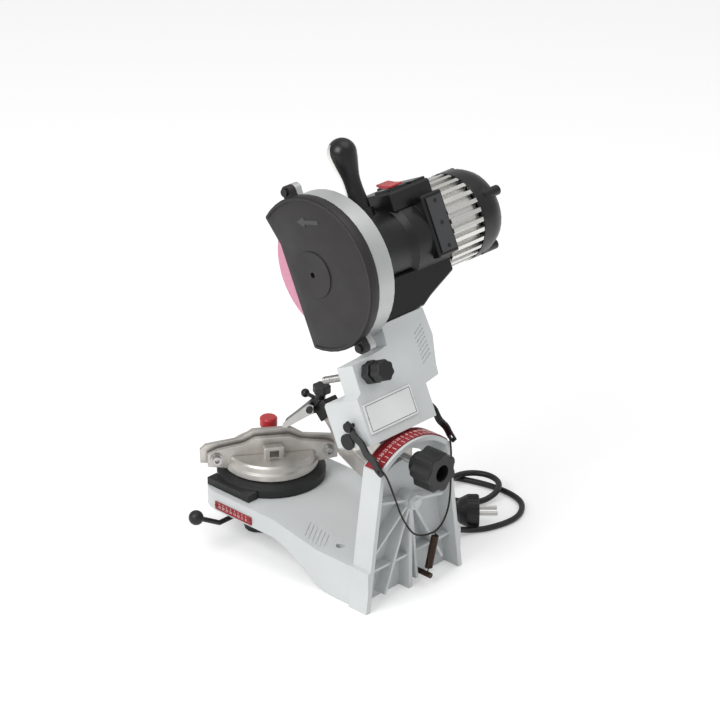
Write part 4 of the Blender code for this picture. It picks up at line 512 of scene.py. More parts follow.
STEEL = finish("turned_steel", (0.52, 0.51, 0.50), 0.30, metal=1.0, grain=1500,
               depth=0.00002, mottle=0.08, edge=(0.8, 0.8, 0.8), rounding=0.0003)
RED = finish("red_plastic", (0.50, 0.022, 0.028), 0.33, grain=1200, depth=0.00003,
             mottle=0.1, edge=(0.7, 0.12, 0.1), edge_share=0.35, coat=0.2)
SCALE_RED = finish("red_scale_band", (0.27, 0.010, 0.017), 0.38, grain=900,
                   depth=0.00003, mottle=0.1, rounding=0.0003)
STONE = finish("pink_grinding_stone", (0.72, 0.33, 0.44), 0.92, grain=2400,
               depth=0.00016, mottle=0.05, gloss=0.03, rounding=0.0004, patch=300.0)
DARK_STEEL = finish("blackened_steel", (0.018, 0.018, 0.019), 0.38, metal=0.5,
                    grain=1500, depth=0.00002, mottle=0.1, edge=(0.08, 0.08, 0.08),
                    rounding=0.0003)
LABEL = finish("bare_label", (0.84, 0.85, 0.85), 0.36, metal=0.05, grain=700,
               depth=0.00001, mottle=0.03, rounding=0.0003)
SPRING_STEEL = finish("browned_spring_steel", (0.055, 0.033, 0.024), 0.36, metal=0.7,
                      grain=1400, depth=0.00004, mottle=0.3, gloss=0.12,
                      edge=(0.16, 0.11, 0.08), rounding=0.0002, patch=90.0)
CABLE_STEEL = finish("dark_cable_wire", (0.030, 0.024, 0.021), 0.40, metal=0.6,
                     grain=1400, depth=0.00003, mottle=0.3, rounding=0.0001, patch=120.0)
COPPER = finish("varnished_windings", (0.33, 0.12, 0.05), 0.35, metal=0.7,
                grain=1500, depth=0.00015, mottle=0.2, stretch=(0.2, 1, 1))
MARKS = finish("pale_scale_marks", (0.80, 0.62, 0.60), 0.5, grain=900, depth=0.00001,
               mottle=0.05, rounding=0.0001)
print("finishes:", len(bpy.data.materials))

# %% [markdown]
# ## The mains lead
# Such a machine has 1.6 to 1.8 m of round rubber cable. The photo shows only two loops
# of it and the plug beside the stand, so the rest is wound up out of sight beside the
# platform, as for storage. Rope or cable could be simulated, but here every
# turn has to lie where the CAD says, so the lead passes through chosen points. The coil
# between them follows a rule.

# %% Route of the lead
LEAD_ROUTE = ((-0.0710, -0.0300, 0.0140), (-0.0960, -0.0300, 0.0140),
              (-0.1120, -0.0318, 0.0096), (-0.1268, -0.0290, 0.0046),
              (-0.1400, -0.0212, 0.0035), (-0.1549, -0.0156, 0.0035),
              (-0.1705, -0.0126, 0.0035), (-0.1863, -0.0135, 0.0035),
              (-0.2006, -0.0201, 0.0035), (-0.2120, -0.0310, 0.0035),
              (-0.2178, -0.0456, 0.0035), (-0.2195, -0.0614, 0.0035),
              (-0.2183, -0.0772, 0.0035), (-0.2149, -0.0927, 0.0035),
              (-0.2100, -0.1078, 0.0035), (-0.2041, -0.1225, 0.0035),
              (-0.1965, -0.1365, 0.0035), (-0.1870, -0.1492, 0.0035),
              (-0.1764, -0.1611, 0.0035), (-0.1654, -0.1725, 0.0035))
LOOP_ROUTE = ((-0.1310, -0.1138, 0.0177), (-0.1480, -0.1134, 0.0172),
              (-0.1650, -0.1136, 0.0150), (-0.1820, -0.1137, 0.0125),
              (-0.1975, -0.1137, 0.0110), (-0.2090, -0.1112, 0.0107),
              (-0.2183, -0.1040, 0.0106), (-0.2238, -0.0935, 0.0106),
              (-0.2243, -0.0818, 0.0106), (-0.2198, -0.0709, 0.0106),
              (-0.2111, -0.0629, 0.0100), (-0.1999, -0.0594, 0.0080),
              (-0.1882, -0.0609, 0.0055), (-0.1800, -0.0657, 0.0040),
              (-0.1743, -0.0723, 0.0035), (-0.1614, -0.0941, 0.0035),
              (-0.1540, -0.1019, 0.0038), (-0.1435, -0.1063, 0.0050),
              (-0.1321, -0.1058, 0.0070), (-0.1219, -0.1005, 0.0095),
              (-0.1150, -0.0915, 0.0120), (-0.1125, -0.0803, 0.0145),
              (-0.1144, -0.0704, 0.0165), (-0.1193, -0.0626, 0.0176))
COIL_CENTRE = (-0.124, -0.156)
COIL_OUTER = 0.041
COIL_PITCH = 0.0071
COIL_LOW_Z = 0.0035
COIL_START = math.radians(225)
COIL_LAYER_TURNS = 2.0
COIL_CLIMB_TURNS = 0.25
COIL_ALL_TURNS = 4.597
COIL_POINTS = 20
PLUG_FACE = Vector((-0.1472, -0.0341, 0.0180))
PLUG_WAY = Vector((-0.695, 0.719, 0)).normalized()
PLUG_STRAIGHT = -0.037
PLUG_CORD_END = -0.0246


print("points before and after the coil:", len(LEAD_ROUTE), len(LOOP_ROUTE))

# %% [markdown]
# ## One smooth cord
# The route, the coil and the way to the plug are joined and smoothed as one line, so no
# kink shows where they meet. A curve with a round bevel keeps it one clean cord from the
# stand to the plug.

# %% One smooth cord
LEAD_RADIUS = 0.0033
LEAD_STEP = 0.010


def smooth_route(route, step):
    """Points a step apart on a smooth curve through the route's own points."""
    route = [Vector(point) for point in route]
    padded = [2 * route[0] - route[1]] + route + [2 * route[-1] - route[-2]]
    fine = []
    for index in range(1, len(padded) - 2):
        before, here, after, beyond = padded[index - 1:index + 3]
        pieces = max(2, round((after - here).length / step))
        for number in range(pieces):
            t = number / pieces
            fine.append(((2 * here) + (after - before) * t
                         + (2 * before - 5 * here + 4 * after - beyond) * t * t
                         + (3 * here - before - 3 * after + beyond) * t * t * t) / 2)
    return fine + [route[-1]]


def coil_points():
    """Two turns in on the floor, two out on top of them, then off and away."""
    count = round(COIL_ALL_TURNS * COIL_POINTS)
    layer, climb = COIL_LAYER_TURNS, COIL_CLIMB_TURNS
    points = []
    for index in range(count + 1):
        turn = COIL_ALL_TURNS * index / count
        back = min(max(0.0, turn - layer - climb), layer)
        radius = COIL_OUTER - COIL_PITCH * (min(turn, layer) - back)
        level_shares = (turn - layer) / climb, (turn - 2 * layer - climb) / climb
        level = sum(min(1.0, max(0.0, share)) for share in level_shares)
        angle = COIL_START + turn * 2 * math.pi
        points.append(Vector((COIL_CENTRE[0] + radius * math.cos(angle),
                              COIL_CENTRE[1] + radius * math.sin(angle),
                              COIL_LOW_Z + COIL_PITCH * level)))
    return points


coil = coil_points()
tail = list(LOOP_ROUTE) + [PLUG_FACE + PLUG_WAY * PLUG_STRAIGHT,
                           PLUG_FACE + PLUG_WAY * PLUG_CORD_END]
lead_first = smooth_route(list(LEAD_ROUTE) + coil[:2], LEAD_STEP)[:-2]
lead_last = smooth_route(coil[-2:] + tail, LEAD_STEP)[2:]
knots = lead_first + coil[1:-1] + lead_last
lead_points = smooth_route(knots, LEAD_STEP)

lead_curve = bpy.data.curves.new("mains_cord", "CURVE")
lead_curve.dimensions = "3D"
lead_curve.bevel_depth = LEAD_RADIUS
lead_curve.bevel_resolution = 4
lead_curve.use_fill_caps = True
spline = lead_curve.splines.new("POLY")
spline.points.add(len(lead_points) - 1)
for knot, point in zip(spline.points, lead_points):
    knot.co = (*point, 1)
spline.use_smooth = True
mains_cord = piece("mains_cord", lead_curve, "base", RUBBER)
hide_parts("mains_lead")

# %% [markdown]
# ## Strain relief and plug
# Where the lead leaves the stand, a tapered rubber boot keeps it from kinking. Rings
# cut into the taper let it bend evenly. It is one lathe profile with a groove repeated
# along it. The plug body is right in the CAD frame, and it gets grip ribs from the tree
# that sets bars round an arc, carried to the plug's own axis.

# %% Strain relief and plug
BOOT_AT = (0, -0.030, 0.014)
BOOT_PROFILE = [(0.0037, -0.0950), (0.0037, -0.0694), (0.0070, -0.0694),
                (0.0070, -0.0735), (0.0062, -0.0742)]
BOOT_RINGS = 6
BOOT_RING_STEP = 0.0033
BOOT_RING_DEPTH = 0.0007
for ring in range(BOOT_RINGS):
    start = -0.0748 - ring * BOOT_RING_STEP
    size = 0.0062 - 0.00022 * ring
    BOOT_PROFILE += [(size, start), (size - 0.0001, start - 0.0021),
                     (size - BOOT_RING_DEPTH, start - 0.0023),
                     (size - BOOT_RING_DEPTH, start - 0.0031)]
BOOT_PROFILE += [(0.0046, -0.0949), (0.0037, -0.0950)]
boot_place = Matrix.Translation(BOOT_AT) @ Matrix.Rotation(math.pi / 2, 4, "Y")
cord_boot = piece("cord_boot", lathe("cord_boot", BOOT_PROFILE, boot_place, 36), "base",
                  RUBBER)
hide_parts("cord_gland")

PLUG_RIBS = 28
plug_place = toward(PLUG_FACE - PLUG_WAY * 0.007, PLUG_WAY)
plug_place = plug_place @ Matrix.Rotation(math.pi / 2, 4, "X")
plug_ribs = piece("plug_ribs", run_tree("plug_ribs", ARC_BARS, {
    "Count": PLUG_RIBS, "Arc radius": 0.0174, "First angle": 0.0,
    "Angle step": 2 * math.pi / PLUG_RIBS, "Bar size": (0.0014, 0.0105, 0.0009),
    "Material": RUBBER}, plug_place), "base", RUBBER)
print("boot rings", BOOT_RINGS, "plug ribs", PLUG_RIBS)

# %% [markdown]
# ## Dressing the rigid parts
# The CAD meshes come as loose triangles, so light would show every facet on a round
# part. A copy whose points are merged can be shaded smooth wherever the surface turns
# gently, and sharp where a real edge is. Each copy stands exactly on its part and
# rides on the same body, so nothing changes but the light.

# %% Dress the rigid parts
SMOOTH_LIMIT = 33
SOFT_NODES = {"mains_lead", "cord_gland", "return_spring", "return_cable", "grip_handle",
              "handle_strip", "depth_screw", "mains_plug", "plug_pin_1", "plug_pin_2"}
WEARS = {
    CAST_PAINT: ("base_casting", "arm_casting", "pivot_bolt"),
    GUARD_PAINT: ("wheel_guard",),
    COVER: ("wheel_cover",),
    LID: ("terminal_plate",),
    BLACK: ("motor_housing", "end_cap", "cooling_fan", "strap_left", "strap_right",
            "stop_body", "grip_handle"),
    KNOB: ("swivel_ring", "ball_lever", "low_knob", "tilt_knob", "depth_lock_knob",
           "depth_end_knob", "stop_knob"),
    CAST_METAL: ("vise_body", "front_jaw", "rear_jaw", "tilt_bracket", "stop_arm"),
    FIN_METAL: ("vent_grille", "handle_strip"),
    DARK_STEEL: ("hinge_pin", "strap_pin_left", "strap_pin_right", "guard_screw_1",
                 "guard_screw_2"),
    STEEL: ("jaw_bolt_1", "jaw_bolt_2", "clamp_stud", "depth_screw", "inner_flange",
            "outer_flange", "spindle_nut", "spindle", "front_bearing", "rear_bearing",
            "stop_pawl", "plug_pin_1", "plug_pin_2"),
    RED: ("red_knob", "rocker_switch"),
    SCALE_RED: ("tilt_scale", "vise_scale"),
    STONE: ("grinding_wheel",),
    LABEL: ("label_plate",),
    SPRING_STEEL: ("spring_anchor", "return_spring", "rotor"),
    CABLE_STEEL: ("return_cable",),
    COPPER: ("stator",),
    RUBBER: ("cord_gland", "mains_lead", "mains_plug"),
}


def dressed(node, look):
    """A merged copy of a CAD part, smooth where its surface turns gently."""
    source = NODES[node]
    points = [vert.co.copy() for vert in source.data.vertices]
    faces = [list(face.vertices) for face in source.data.polygons]
    mesh = bpy.data.meshes.new(node + "_skin")
    mesh.from_pydata([tuple(point) for point in points], [], faces)
    work = bmesh.new()
    work.from_mesh(mesh)
    bmesh.ops.remove_doubles(work, verts=work.verts, dist=EPSILON)
    work.to_mesh(mesh)
    work.free()
    mesh.shade_smooth()
    mesh.set_sharp_from_angle(angle=math.radians(SMOOTH_LIMIT))
    skin = piece(node + "_skin", mesh, source["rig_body"], look)
    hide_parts(node)
    return skin


for look, names in WEARS.items():
    for node in names:
        NODES[node].data.materials.clear()
        NODES[node].data.materials.append(look)
        if node not in SOFT_NODES:
            dressed(node, look)
print("parts dressed:", sum(len(names) for names in WEARS.values()))

# %% [markdown]
# ## The handle
# The hand pulls the head down by a club-shaped grip: a slim neck that swells into a
# rounded end. A lathe gives the club from one profile, whose rounded end is a half
# circle of short steps.

# %% Handle
GRIP_AT = HEAD @ Matrix.Translation((-0.056, 0.008, 0))
GRIP_BALL = 0.0155
GRIP_BALL_AT = 0.105
GRIP_NECK = ((0.0112, 0.0430), (0.0110, 0.0500), (0.0104, 0.0580), (0.0099, 0.0660),
             (0.0098, 0.0730), (0.0103, 0.0790), (0.0114, 0.0845), (0.0129, 0.0905),
             (0.0143, 0.0965))


def grip_outline(extra):
    points = [(radius + extra, height) for radius, height in GRIP_NECK]
    for step in range(1, 15):
        angle = math.radians(-14 + 104 * step / 14)
        points.append((max(0.0, (GRIP_BALL + extra) * math.cos(angle)),
                       GRIP_BALL_AT + (GRIP_BALL + extra) * math.sin(angle)))
    return points[:-1] + [(0.0, points[-1][1])]


grip_profile = [(0.0, 0.0430)] + grip_outline(-0.0002)
club_grip = piece("club_grip", lathe("club_grip", grip_profile, GRIP_AT, 64, 50), "arm",
                  BLACK)
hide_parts("grip_handle")
print("grip height", round(GRIP_BALL_AT + GRIP_BALL, 4))

# %% [markdown]
# ## The strip in the handle
# A bright metal strip is let into the side of the grip. It follows the same profile over
# a part of the turn, so it is made like the lathe's work, but open, and closed at both
# ends by a face.

# %% Strip in the handle
STRIP_MIDDLE = math.radians(-44)
STRIP_SPREAD = math.radians(40)
STRIP_STEPS = 18
strip_points, strip_faces = [], []
strip_outer = [point for point in grip_outline(0.0) if point[1] < 0.117]
strip_inner = [(radius - 0.0012, height) for radius, height in strip_outer]
for step in range(STRIP_STEPS + 1):
    angle = STRIP_MIDDLE + STRIP_SPREAD * (2 * step / STRIP_STEPS - 1)
    for radius, height in strip_outer + strip_inner[::-1]:
        strip_points.append(GRIP_AT @ Vector((radius * math.cos(angle),
                                              radius * math.sin(angle), height)))
ring = len(strip_outer) * 2
for step in range(STRIP_STEPS):
    for row in range(ring):
        after = (row + 1) % ring
        strip_faces.append((step * ring + row, (step + 1) * ring + row,
                            (step + 1) * ring + after, step * ring + after))
strip_faces.append(tuple(range(ring)))
strip_faces.append(tuple(range(STRIP_STEPS * ring, (STRIP_STEPS + 1) * ring)))
grip_strip = piece("grip_strip", mesh_from("grip_strip", strip_points, strip_faces, 40),
                   "arm", FIN_METAL)
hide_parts("handle_strip")
print("strip faces", len(strip_faces))

# %% [markdown]
# ## Return spring
# A steel spring behind the stand pulls a cable, which lifts the head again. The spring
# is a helix of round wire with a hook at each end, so its path is worked out by a rule,
# and the wire tree sweeps a round section along it.

# %% Return spring
SPRING_TOP = Vector((-0.0258, 0.0140, 0.0562))
SPRING_FOOT = Vector((-0.0180, 0.0120, 0.0182))
SPRING_HOOK_TOP = Vector((-0.0262, 0.0140, 0.0579))
SPRING_HOOK_FOOT = Vector((-0.0171, 0.0120, 0.0154))
SPRING_COIL_RADIUS = 0.0035
SPRING_WIRE = 0.00068
SPRING_TURNS = 25
SPRING_INSET = 0.0014
SPRING_POINTS = 20
spring_axis = (SPRING_FOOT - SPRING_TOP).normalized()
spring_side = spring_axis.orthogonal().normalized()
spring_other = spring_axis.cross(spring_side)
spring_run = (SPRING_FOOT - SPRING_TOP).length - 2 * SPRING_INSET
spring_points = [SPRING_HOOK_TOP, SPRING_TOP]
for index in range(SPRING_TURNS * SPRING_POINTS + 1):
    angle = 2 * math.pi * index / SPRING_POINTS
    along = SPRING_INSET + spring_run * index / (SPRING_TURNS * SPRING_POINTS)
    spring_points.append(SPRING_TOP + spring_axis * along
                         + (spring_side * math.cos(angle)
                            + spring_other * math.sin(angle)) * SPRING_COIL_RADIUS)
spring_points += [SPRING_FOOT, SPRING_HOOK_FOOT]
wound_spring = piece("wound_spring", wire("wound_spring", spring_points, SPRING_WIRE,
                                          SPRING_STEEL), "base", SPRING_STEEL)
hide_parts("return_spring")
print("spring turns", SPRING_TURNS)

# %% [markdown]
# ## Return cable
# The cable hangs in a U from one strap to the other, with the spring at its lowest
# point. It is three strands laid round each other. Each strand is the same line, wound
# at a fixed lay, and the wire tree sweeps it.

# %% Return cable
CABLE_STEP = 0.0007
CABLE_ROUTE = ((0.0502, 0.0100, 0.1570), (0.0482, 0.0128, 0.1525),
               (0.0448, 0.0148, 0.1440), (0.0362, 0.0150, 0.1230),
               (0.0253, 0.0150, 0.0968), (0.0103, 0.0150, 0.0735),
               (-0.0040, 0.0147, 0.0640), (-0.0150, 0.0143, 0.0610),
               (-0.0262, 0.0140, 0.0602), (-0.0362, 0.0146, 0.0665),
               (-0.0432, 0.0150, 0.0790), (-0.0465, 0.0150, 0.0960),
               (-0.0472, 0.0150, 0.1200), (-0.0476, 0.0146, 0.1400),
               (-0.0486, 0.0128, 0.1500), (-0.0502, 0.0100, 0.1570))
CABLE_STRANDS = 3
CABLE_STRAND_RADIUS = 0.00056
CABLE_LAY = 0.0070
cable_line = smooth_route(CABLE_ROUTE, CABLE_STEP)
strands = []
for strand in range(CABLE_STRANDS):
    walked, points = 0.0, []
    for number, point in enumerate(cable_line):
        ahead = cable_line[min(number + 1, len(cable_line) - 1)]
        behind = cable_line[max(number - 1, 0)]
        way = (ahead - behind).normalized()
        side = way.cross(Vector((0, 1, 0))).normalized()
        lift = side.cross(way)
        angle = 2 * math.pi * (walked / CABLE_LAY + strand / CABLE_STRANDS)
        points.append(point + (side * math.cos(angle) + lift * math.sin(angle))
                      * CABLE_STRAND_RADIUS)
        walked += (ahead - point).length
    strands.append(wire(f"strand_{strand}", points, CABLE_STRAND_RADIUS, CABLE_STEEL, 6))
laid_cable = piece("laid_cable", joined("laid_cable", strands, 50), "bracket",
                   CABLE_STEEL)
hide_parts("return_cable")
print("cable faces", len(laid_cable.data.polygons))

# %% [markdown]
# ## Scale of the tilt
# The red band round the head of the stand shows how far the head leans, with a mark
# every five degrees from 35 on one side to 35 on the other. Marks are bars from the arc
# tree. Numbers start as text, which this helper turns into a thin raised mesh.

# %% Numbers as meshes
MARK_HEIGHT = 0.00022


def figure(text, size, place):
    """A number as a thin raised mesh, centred on its place."""
    words = bpy.data.curves.new("figure", "FONT")
    words.body = text
    words.size = size
    words.extrude = MARK_HEIGHT / 2
    words.align_x = "CENTER"
    words.align_y = "CENTER"
    carrier = bpy.data.objects.new("figure", words)
    scene.collection.objects.link(carrier)
    bpy.context.view_layer.update()
    graph = bpy.context.evaluated_depsgraph_get()
    mesh = bpy.data.meshes.new_from_object(carrier.evaluated_get(graph))
    bpy.data.objects.remove(carrier)
    mesh.transform(place)
    return mesh


print("mark height", MARK_HEIGHT)

# %% [markdown]
# ## Marks and numbers on the band
# The numbers are set on the band one by one, square to the arc, so that they read from
# behind the machine. Marks and numbers are one piece, as they are one print.

# %% Marks and numbers on the band
TILT_AT = Vector((0, 0, 0.102))
TILT_BAND_RADIUS = 0.07245
TILT_LAST = 35
TILT_STEP = 5
TILT_MARK_Y, TILT_FIGURE_Y = 0.0038, -0.0030
TILT_MARK = (0.0006, 0.0052, MARK_HEIGHT)
TILT_FIGURE_SIZE = 0.0052
tilt_count = 2 * TILT_LAST // TILT_STEP + 1
tilt_meshes = [run_tree("tilt_marks", ARC_BARS, {
    "Count": tilt_count, "Arc radius": TILT_BAND_RADIUS,
    "First angle": -math.radians(TILT_LAST), "Angle step": math.radians(TILT_STEP),
    "Bar size": TILT_MARK, "Material": MARKS},
    Matrix.Translation(TILT_AT + Vector((0, TILT_MARK_Y, 0))))]
for number in range(tilt_count):
    degrees = abs(number * TILT_STEP - TILT_LAST)
    angle = math.radians(number * TILT_STEP - TILT_LAST)
    outward = Vector((math.sin(angle), 0, math.cos(angle)))
    along = Vector((-math.cos(angle), 0, math.sin(angle)))
    turn = Matrix((along, Vector((0, -1, 0)), outward)).transposed().to_4x4()
    spot = TILT_AT + outward * TILT_BAND_RADIUS + Vector((0, TILT_FIGURE_Y, 0))
    tilt_meshes.append(figure(str(degrees), TILT_FIGURE_SIZE,
                              Matrix.Translation(spot) @ turn))
piece("tilt_figures", joined("tilt_figures", tilt_meshes), "base", MARKS)
print("tilt marks", tilt_count)

# %% [markdown]
# ## Scale of the vise
# The vise turns in its ring, and a small red plate on the edge of the platform shows
# the angle. Its marks stand in a straight row, so the row tree makes them. Two domed
# pins hold the plate.

# %% Scale of the vise
VISE_SCALE_X = 0.07045
VISE_SCALE_LEFT_Y = -0.2055
VISE_SCALE_STEP = 0.0057
VISE_MARKS = 8
VISE_MARK_Z, VISE_FIGURE_Z = 0.0459, 0.0422
VISE_MARK = (MARK_HEIGHT, 0.0005, 0.0024)
VISE_FIGURE_SIZE = 0.0040
VISE_FIGURE_STEP = 5
PIN_PLACES = ((0.04300, -0.2102), (0.04300, -0.1598))
scale_face = Matrix(((0, 0, 1, 0), (1, 0, 0, 0), (0, 1, 0, 0), (0, 0, 0, 1)))
vise_meshes = [run_tree("vise_marks", ROW_BARS, {
    "Count": VISE_MARKS, "Step": (0, VISE_SCALE_STEP, 0),
    "Bar size": VISE_MARK, "Bar turn": (0, 0, 0), "Material": MARKS},
    Matrix.Translation((VISE_SCALE_X, VISE_SCALE_LEFT_Y, VISE_MARK_Z)))]
for number in range(VISE_MARKS):
    spot = (VISE_SCALE_X, VISE_SCALE_LEFT_Y + number * VISE_SCALE_STEP, VISE_FIGURE_Z)
    words = str((VISE_MARKS - 1 - number) * VISE_FIGURE_STEP)
    vise_meshes.append(figure(words, VISE_FIGURE_SIZE,
                              Matrix.Translation(spot) @ scale_face))
piece("vise_figures", joined("vise_figures", vise_meshes), "base", MARKS)
pin_profile = [(0.0, 0.0013), (0.0012, 0.0011), (0.0020, 0.0006), (0.0022, 0.0),
               (0.0, 0.0)]
pins = [lathe("pin", pin_profile, toward((VISE_SCALE_X - 0.0001, y, z), (1, 0, 0)), 20)
        for z, y in PIN_PLACES]
piece("scale_pins", joined("scale_pins", pins), "base", SCALE_RED)
print("vise marks", VISE_MARKS)

# %% [markdown]
# ## Cast marks on the platform
# A row of slanted ridges is cast on the sloping top of the platform. They lie in the
# plane of that slope, so the row is made flat and then tipped by the slope's angle.

# %% Ridges of the platform
SLOPE = math.radians(10.4)
RIDGES = 6
RIDGE_FIRST = (0.0515, -0.0945, 0.0514)
RIDGE_STEP = 0.0054
RIDGE_SIZE = (0.026, 0.0017, 0.0010)
RIDGE_TURN = math.radians(31.6)
ridge_place = Matrix.Translation(RIDGE_FIRST)
ridge_place = ridge_place @ Matrix.Rotation(-SLOPE, 4, "X")
ridges = run_tree("platform_ridges", ROW_BARS, {
    "Count": RIDGES, "Step": (0, RIDGE_STEP, 0), "Bar size": RIDGE_SIZE,
    "Bar turn": (0, 0, RIDGE_TURN), "Material": CAST_PAINT}, ridge_place)
piece("platform_ridges", ridges, "base", CAST_PAINT)
print("ridges", RIDGES)

# %% [markdown]
# ## Rim of the cover
# The black cover has a raised rim that follows its round edge. It is a band with a flat
# section, drawn in the plane of the cover with angles round the wheel's axis, and it
# stands proud by a fraction of a millimetre.

# %% Rim of the cover
COVER_FACE_X = 0.0235
COVER_SINK = 0.0002
RIM_RAISE = 0.0006
RIM_INNER, RIM_OUTER = 0.0772, 0.0800
RIM_FIRST, RIM_LAST = -113.5, 121.5
RIM_STEPS = 96


def raised_ring(name, inner, outer, low_x, high_x):
    """A closed band of flat section round the wheel's axis, between the rim's ends."""
    points, faces = [], []
    for step in range(RIM_STEPS + 1):
        angle = math.radians(RIM_FIRST + (RIM_LAST - RIM_FIRST) * step / RIM_STEPS)
        for height, reach in ((low_x, inner), (low_x, outer), (high_x, outer),
                              (high_x, inner)):
            points.append(HEAD @ Vector((height, reach * math.cos(angle),
                                         reach * math.sin(angle))))
    for row in range(RIM_STEPS):
        for corner in range(4):
            after = (corner + 1) % 4
            faces.append((4 * row + corner, 4 * row + after, 4 * row + 4 + after,
                          4 * row + 4 + corner))
    last = 4 * RIM_STEPS
    faces += [(0, 1, 2, 3), (last, last + 1, last + 2, last + 3)]
    return mesh_from(name, points, faces, 40)


rim = raised_ring("cover_rim", RIM_INNER, RIM_OUTER, COVER_FACE_X - COVER_SINK,
                  COVER_FACE_X + RIM_RAISE)
piece("cover_rim", rim, "arm", COVER)
print("rim faces", len(rim.polygons))

# %% [markdown]
# ## Arrow of the cover
# A shallow arrow shows which way the wheel turns. Its seven corners are worked out from
# its tail, its tip and its widths, and the outline is raised like the rim.

# %% Arrow of the cover
ARROW_TAIL, ARROW_TIP = Vector((0.031, 0.050)), Vector((0.001, 0.056))
ARROW_HALF, ARROW_HEAD_HALF, ARROW_HEAD = 0.0022, 0.0056, 0.011
arrow_way = (ARROW_TIP - ARROW_TAIL).normalized()
arrow_side = Vector((-arrow_way.y, arrow_way.x))
arrow_neck = ARROW_TIP - arrow_way * ARROW_HEAD
arrow_corners = [ARROW_TAIL + arrow_side * ARROW_HALF, arrow_neck + arrow_side * ARROW_HALF,
                 arrow_neck + arrow_side * ARROW_HEAD_HALF, ARROW_TIP,
                 arrow_neck - arrow_side * ARROW_HEAD_HALF,
                 arrow_neck - arrow_side * ARROW_HALF, ARROW_TAIL - arrow_side * ARROW_HALF]
ARROW_RAISE = 0.0005
arrow_points = [HEAD @ Vector((height, *corner))
                for height in (COVER_FACE_X - COVER_SINK, COVER_FACE_X + ARROW_RAISE)
                for corner in arrow_corners]
sides = len(arrow_corners)
arrow_faces = [tuple(range(sides)), tuple(range(sides, 2 * sides))]
for corner in range(sides):
    after = (corner + 1) % sides
    arrow_faces.append((corner, after, sides + after, sides + corner))
arrow = mesh_from("cover_arrow", arrow_points, arrow_faces, 30)
piece("cover_arrow", arrow, "arm", LID)
print("arrow corners", sides)

# %% [markdown]
# ## Bare plate, rivets and screws
# The plate on the arm is printed on the real machine and stays bare here, with a fine
# raised edge and two rivets. Small screw heads hold the lid of the wiring box.

# %% Bare plate, rivets and screws
PLATE_V = 0.0336
PLATE_LOW, PLATE_HIGH = (-0.024, 0.0025), (0.044, 0.0335)
EDGE = 0.0005
EDGE_INSET = 0.0020
EDGE_RAISE, EDGE_SINK = 0.00015, 0.0001
RIVET_ABOVE_EDGE = 0.0135
low_x, low_w = (value + EDGE_INSET for value in PLATE_LOW)
high_x, high_w = (value - EDGE_INSET for value in PLATE_HIGH)
edge_spans = [((low_x, low_w), (high_x, low_w + EDGE)),
              ((low_x, high_w - EDGE), (high_x, high_w)),
              ((low_x, low_w), (low_x + EDGE, high_w)),
              ((high_x - EDGE, low_w), (high_x, high_w))]
edge_bars = [bar((start[0], PLATE_V - EDGE_SINK, start[1]),
                 (end[0], PLATE_V + EDGE_RAISE, end[1]), ARM)
             for start, end in edge_spans]
piece("plate_edge", joined("plate_edge", edge_bars), "arm", LID)
rivet_profile = [(0.0, 0.0007), (0.0006, 0.0006), (0.0010, 0.0003), (0.0011, -0.0002),
                 (0.0, -0.0002)]
out_of_plate = ARM.to_3x3() @ Vector((0, 1, 0))
rivets = [lathe("rivet", rivet_profile, toward(ARM @ Vector((x, PLATE_V, w)), out_of_plate),
                16) for x in (low_x - EDGE_SINK, high_x + EDGE_SINK)
          for w in (low_w + RIVET_ABOVE_EDGE,)]
piece("plate_rivets", joined("plate_rivets", rivets), "arm", STEEL)
LID_V = 0.0486
LID_SCREW_X = -0.1205
LID_SCREW_HEIGHTS = (-0.019, 0.0055, 0.029)
screw_profile = [(0.0, 0.0001), (0.0008, 0.0001), (0.0009, 0.0006), (0.0019, 0.0006),
                 (0.0021, 0.0002), (0.0021, -0.0003), (0.0, -0.0003)]
lid_screws = [lathe("screw", screw_profile,
                    toward(HEAD @ Vector((LID_SCREW_X, LID_V, height)), out_of_plate), 20)
              for height in LID_SCREW_HEIGHTS]
piece("lid_screw_heads", joined("lid_screw_heads", lid_screws), "arm", BLACK)
print("rivets", len(rivets), "lid screws", len(lid_screws))

# %% [markdown]
# ## Threads of the depth stop
# The stop that limits how deep the wheel cuts is a long screw. A real thread is a
# helical ridge, so one fine ridge is wound round a plain rod with the wire tree. At this
# size a round ridge looks much like a cut one, and it needs far fewer faces.

# %% Threads of the depth stop
ROD_X, ROD_W = 0.024, 0.061
ROD_FRONT_V, ROD_REAR_V = -0.035, 0.058
ROD_CORE = 0.0034
ROD_END_ROUND = 0.0008
THREAD_PITCH = 0.0012
THREAD_POINTS = 16
THREAD_WIRE = 0.00042
THREAD_START = 0.0012
PLAIN_END = 0.024
THREAD_REACH = ROD_CORE + 0.0001
rod_place = toward(ARM @ Vector((ROD_X, ROD_FRONT_V, ROD_W)), out_of_plate)
rod_long = ROD_REAR_V - ROD_FRONT_V
core = lathe("depth_core", [(0.0, 0.0), (ROD_CORE - 0.0006, 0.0),
                            (ROD_CORE, ROD_END_ROUND),
                            (ROD_CORE, rod_long), (0.0, rod_long)], rod_place, 28)
thread_points = []
thread_turns = int((rod_long - PLAIN_END) / THREAD_PITCH)
for index in range(thread_turns * THREAD_POINTS):
    angle = 2 * math.pi * index / THREAD_POINTS
    thread_points.append(rod_place @ Vector((
        THREAD_REACH * math.cos(angle), THREAD_REACH * math.sin(angle),
        THREAD_START + THREAD_PITCH * index / THREAD_POINTS)))
thread = wire("depth_thread", thread_points, THREAD_WIRE, STEEL, 6)
threaded_stop = piece("threaded_stop", joined("threaded_stop", [core, thread], 40),
                      "depth_stop", STEEL)
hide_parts("depth_screw")
print("thread turns", thread_turns)

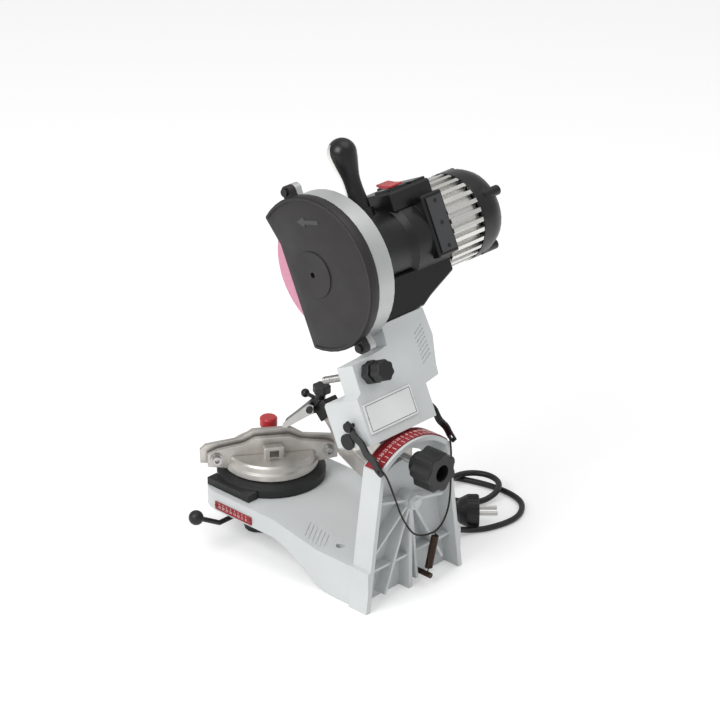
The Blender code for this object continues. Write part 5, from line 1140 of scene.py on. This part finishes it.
# %% [markdown]
# ## Floor and light
# The machine stands on a plain pale floor that runs far past the view, so the background
# and the floor are one. The lamps are wide and soft, and stay at a level at which a
# colour looks about as it was written. The floor reaches white through a little glow
# that only the camera and mirror-like surfaces see, so it still keeps the shadow.

# %% Floor and light
FLOOR_HALF = 6.0
FLOOR_GLOW = 0.30
WORLD_STRENGTH = 0.54
floor_finish = bpy.data.materials.new("studio_floor")
floor_finish.use_nodes = True
floor_tree = floor_finish.node_tree
floor_shader = floor_tree.nodes["Principled BSDF"]
floor_shader.inputs["Base Color"].default_value = (0.82, 0.82, 0.82, 1)
floor_shader.inputs["Roughness"].default_value = 0.9
floor_shader.inputs["Specular IOR Level"].default_value = 0.1
glow = floor_tree.nodes.new("ShaderNodeEmission")
rays = floor_tree.nodes.new("ShaderNodeLightPath")
seen = maths(floor_tree, "MAXIMUM", rays.outputs["Is Camera Ray"],
             rays.outputs["Is Glossy Ray"])
seen = maths(floor_tree, "MAXIMUM", seen, rays.outputs["Is Transmission Ray"])
both = floor_tree.nodes.new("ShaderNodeAddShader")
link(floor_tree, (maths(floor_tree, "MULTIPLY", seen, FLOOR_GLOW),
                  glow.inputs["Strength"]),
     (floor_shader.outputs["BSDF"], both.inputs[0]),
     (glow.outputs["Emission"], both.inputs[1]),
     (both.outputs["Shader"], floor_tree.nodes["Material Output"].inputs["Surface"]))
floor_mesh = bpy.data.meshes.new("studio_floor")
floor_mesh.from_pydata([(-FLOOR_HALF, -FLOOR_HALF, 0), (FLOOR_HALF, -FLOOR_HALF, 0),
                        (FLOOR_HALF, FLOOR_HALF, 0), (-FLOOR_HALF, FLOOR_HALF, 0)], [],
                       [(0, 1, 2, 3)])
floor_mesh.materials.append(floor_finish)
floor = bpy.data.objects.new("studio_floor", floor_mesh)
scene.collection.objects.link(floor)

world = bpy.data.worlds.new("studio_world")
world.use_nodes = True
world.node_tree.nodes["Background"].inputs["Color"].default_value = (1, 1, 1, 1)
world.node_tree.nodes["Background"].inputs["Strength"].default_value = WORLD_STRENGTH
scene.world = world


def soft_lamp(name, place, power, width):
    data = bpy.data.lights.new(name, "AREA")
    data.energy = power
    data.size = width
    lamp = bpy.data.objects.new(name, data)
    lamp.location = place
    way = Vector(place) - VIEW_TARGET
    lamp.rotation_euler = way.to_track_quat("Z", "Y").to_euler()
    scene.collection.objects.link(lamp)


soft_lamp("key_lamp", (2.0, -0.1, 2.0), 42, 1.5)
soft_lamp("top_lamp", (-0.6, 0.3, 2.6), 16, 2.0)
print("lamps ready")
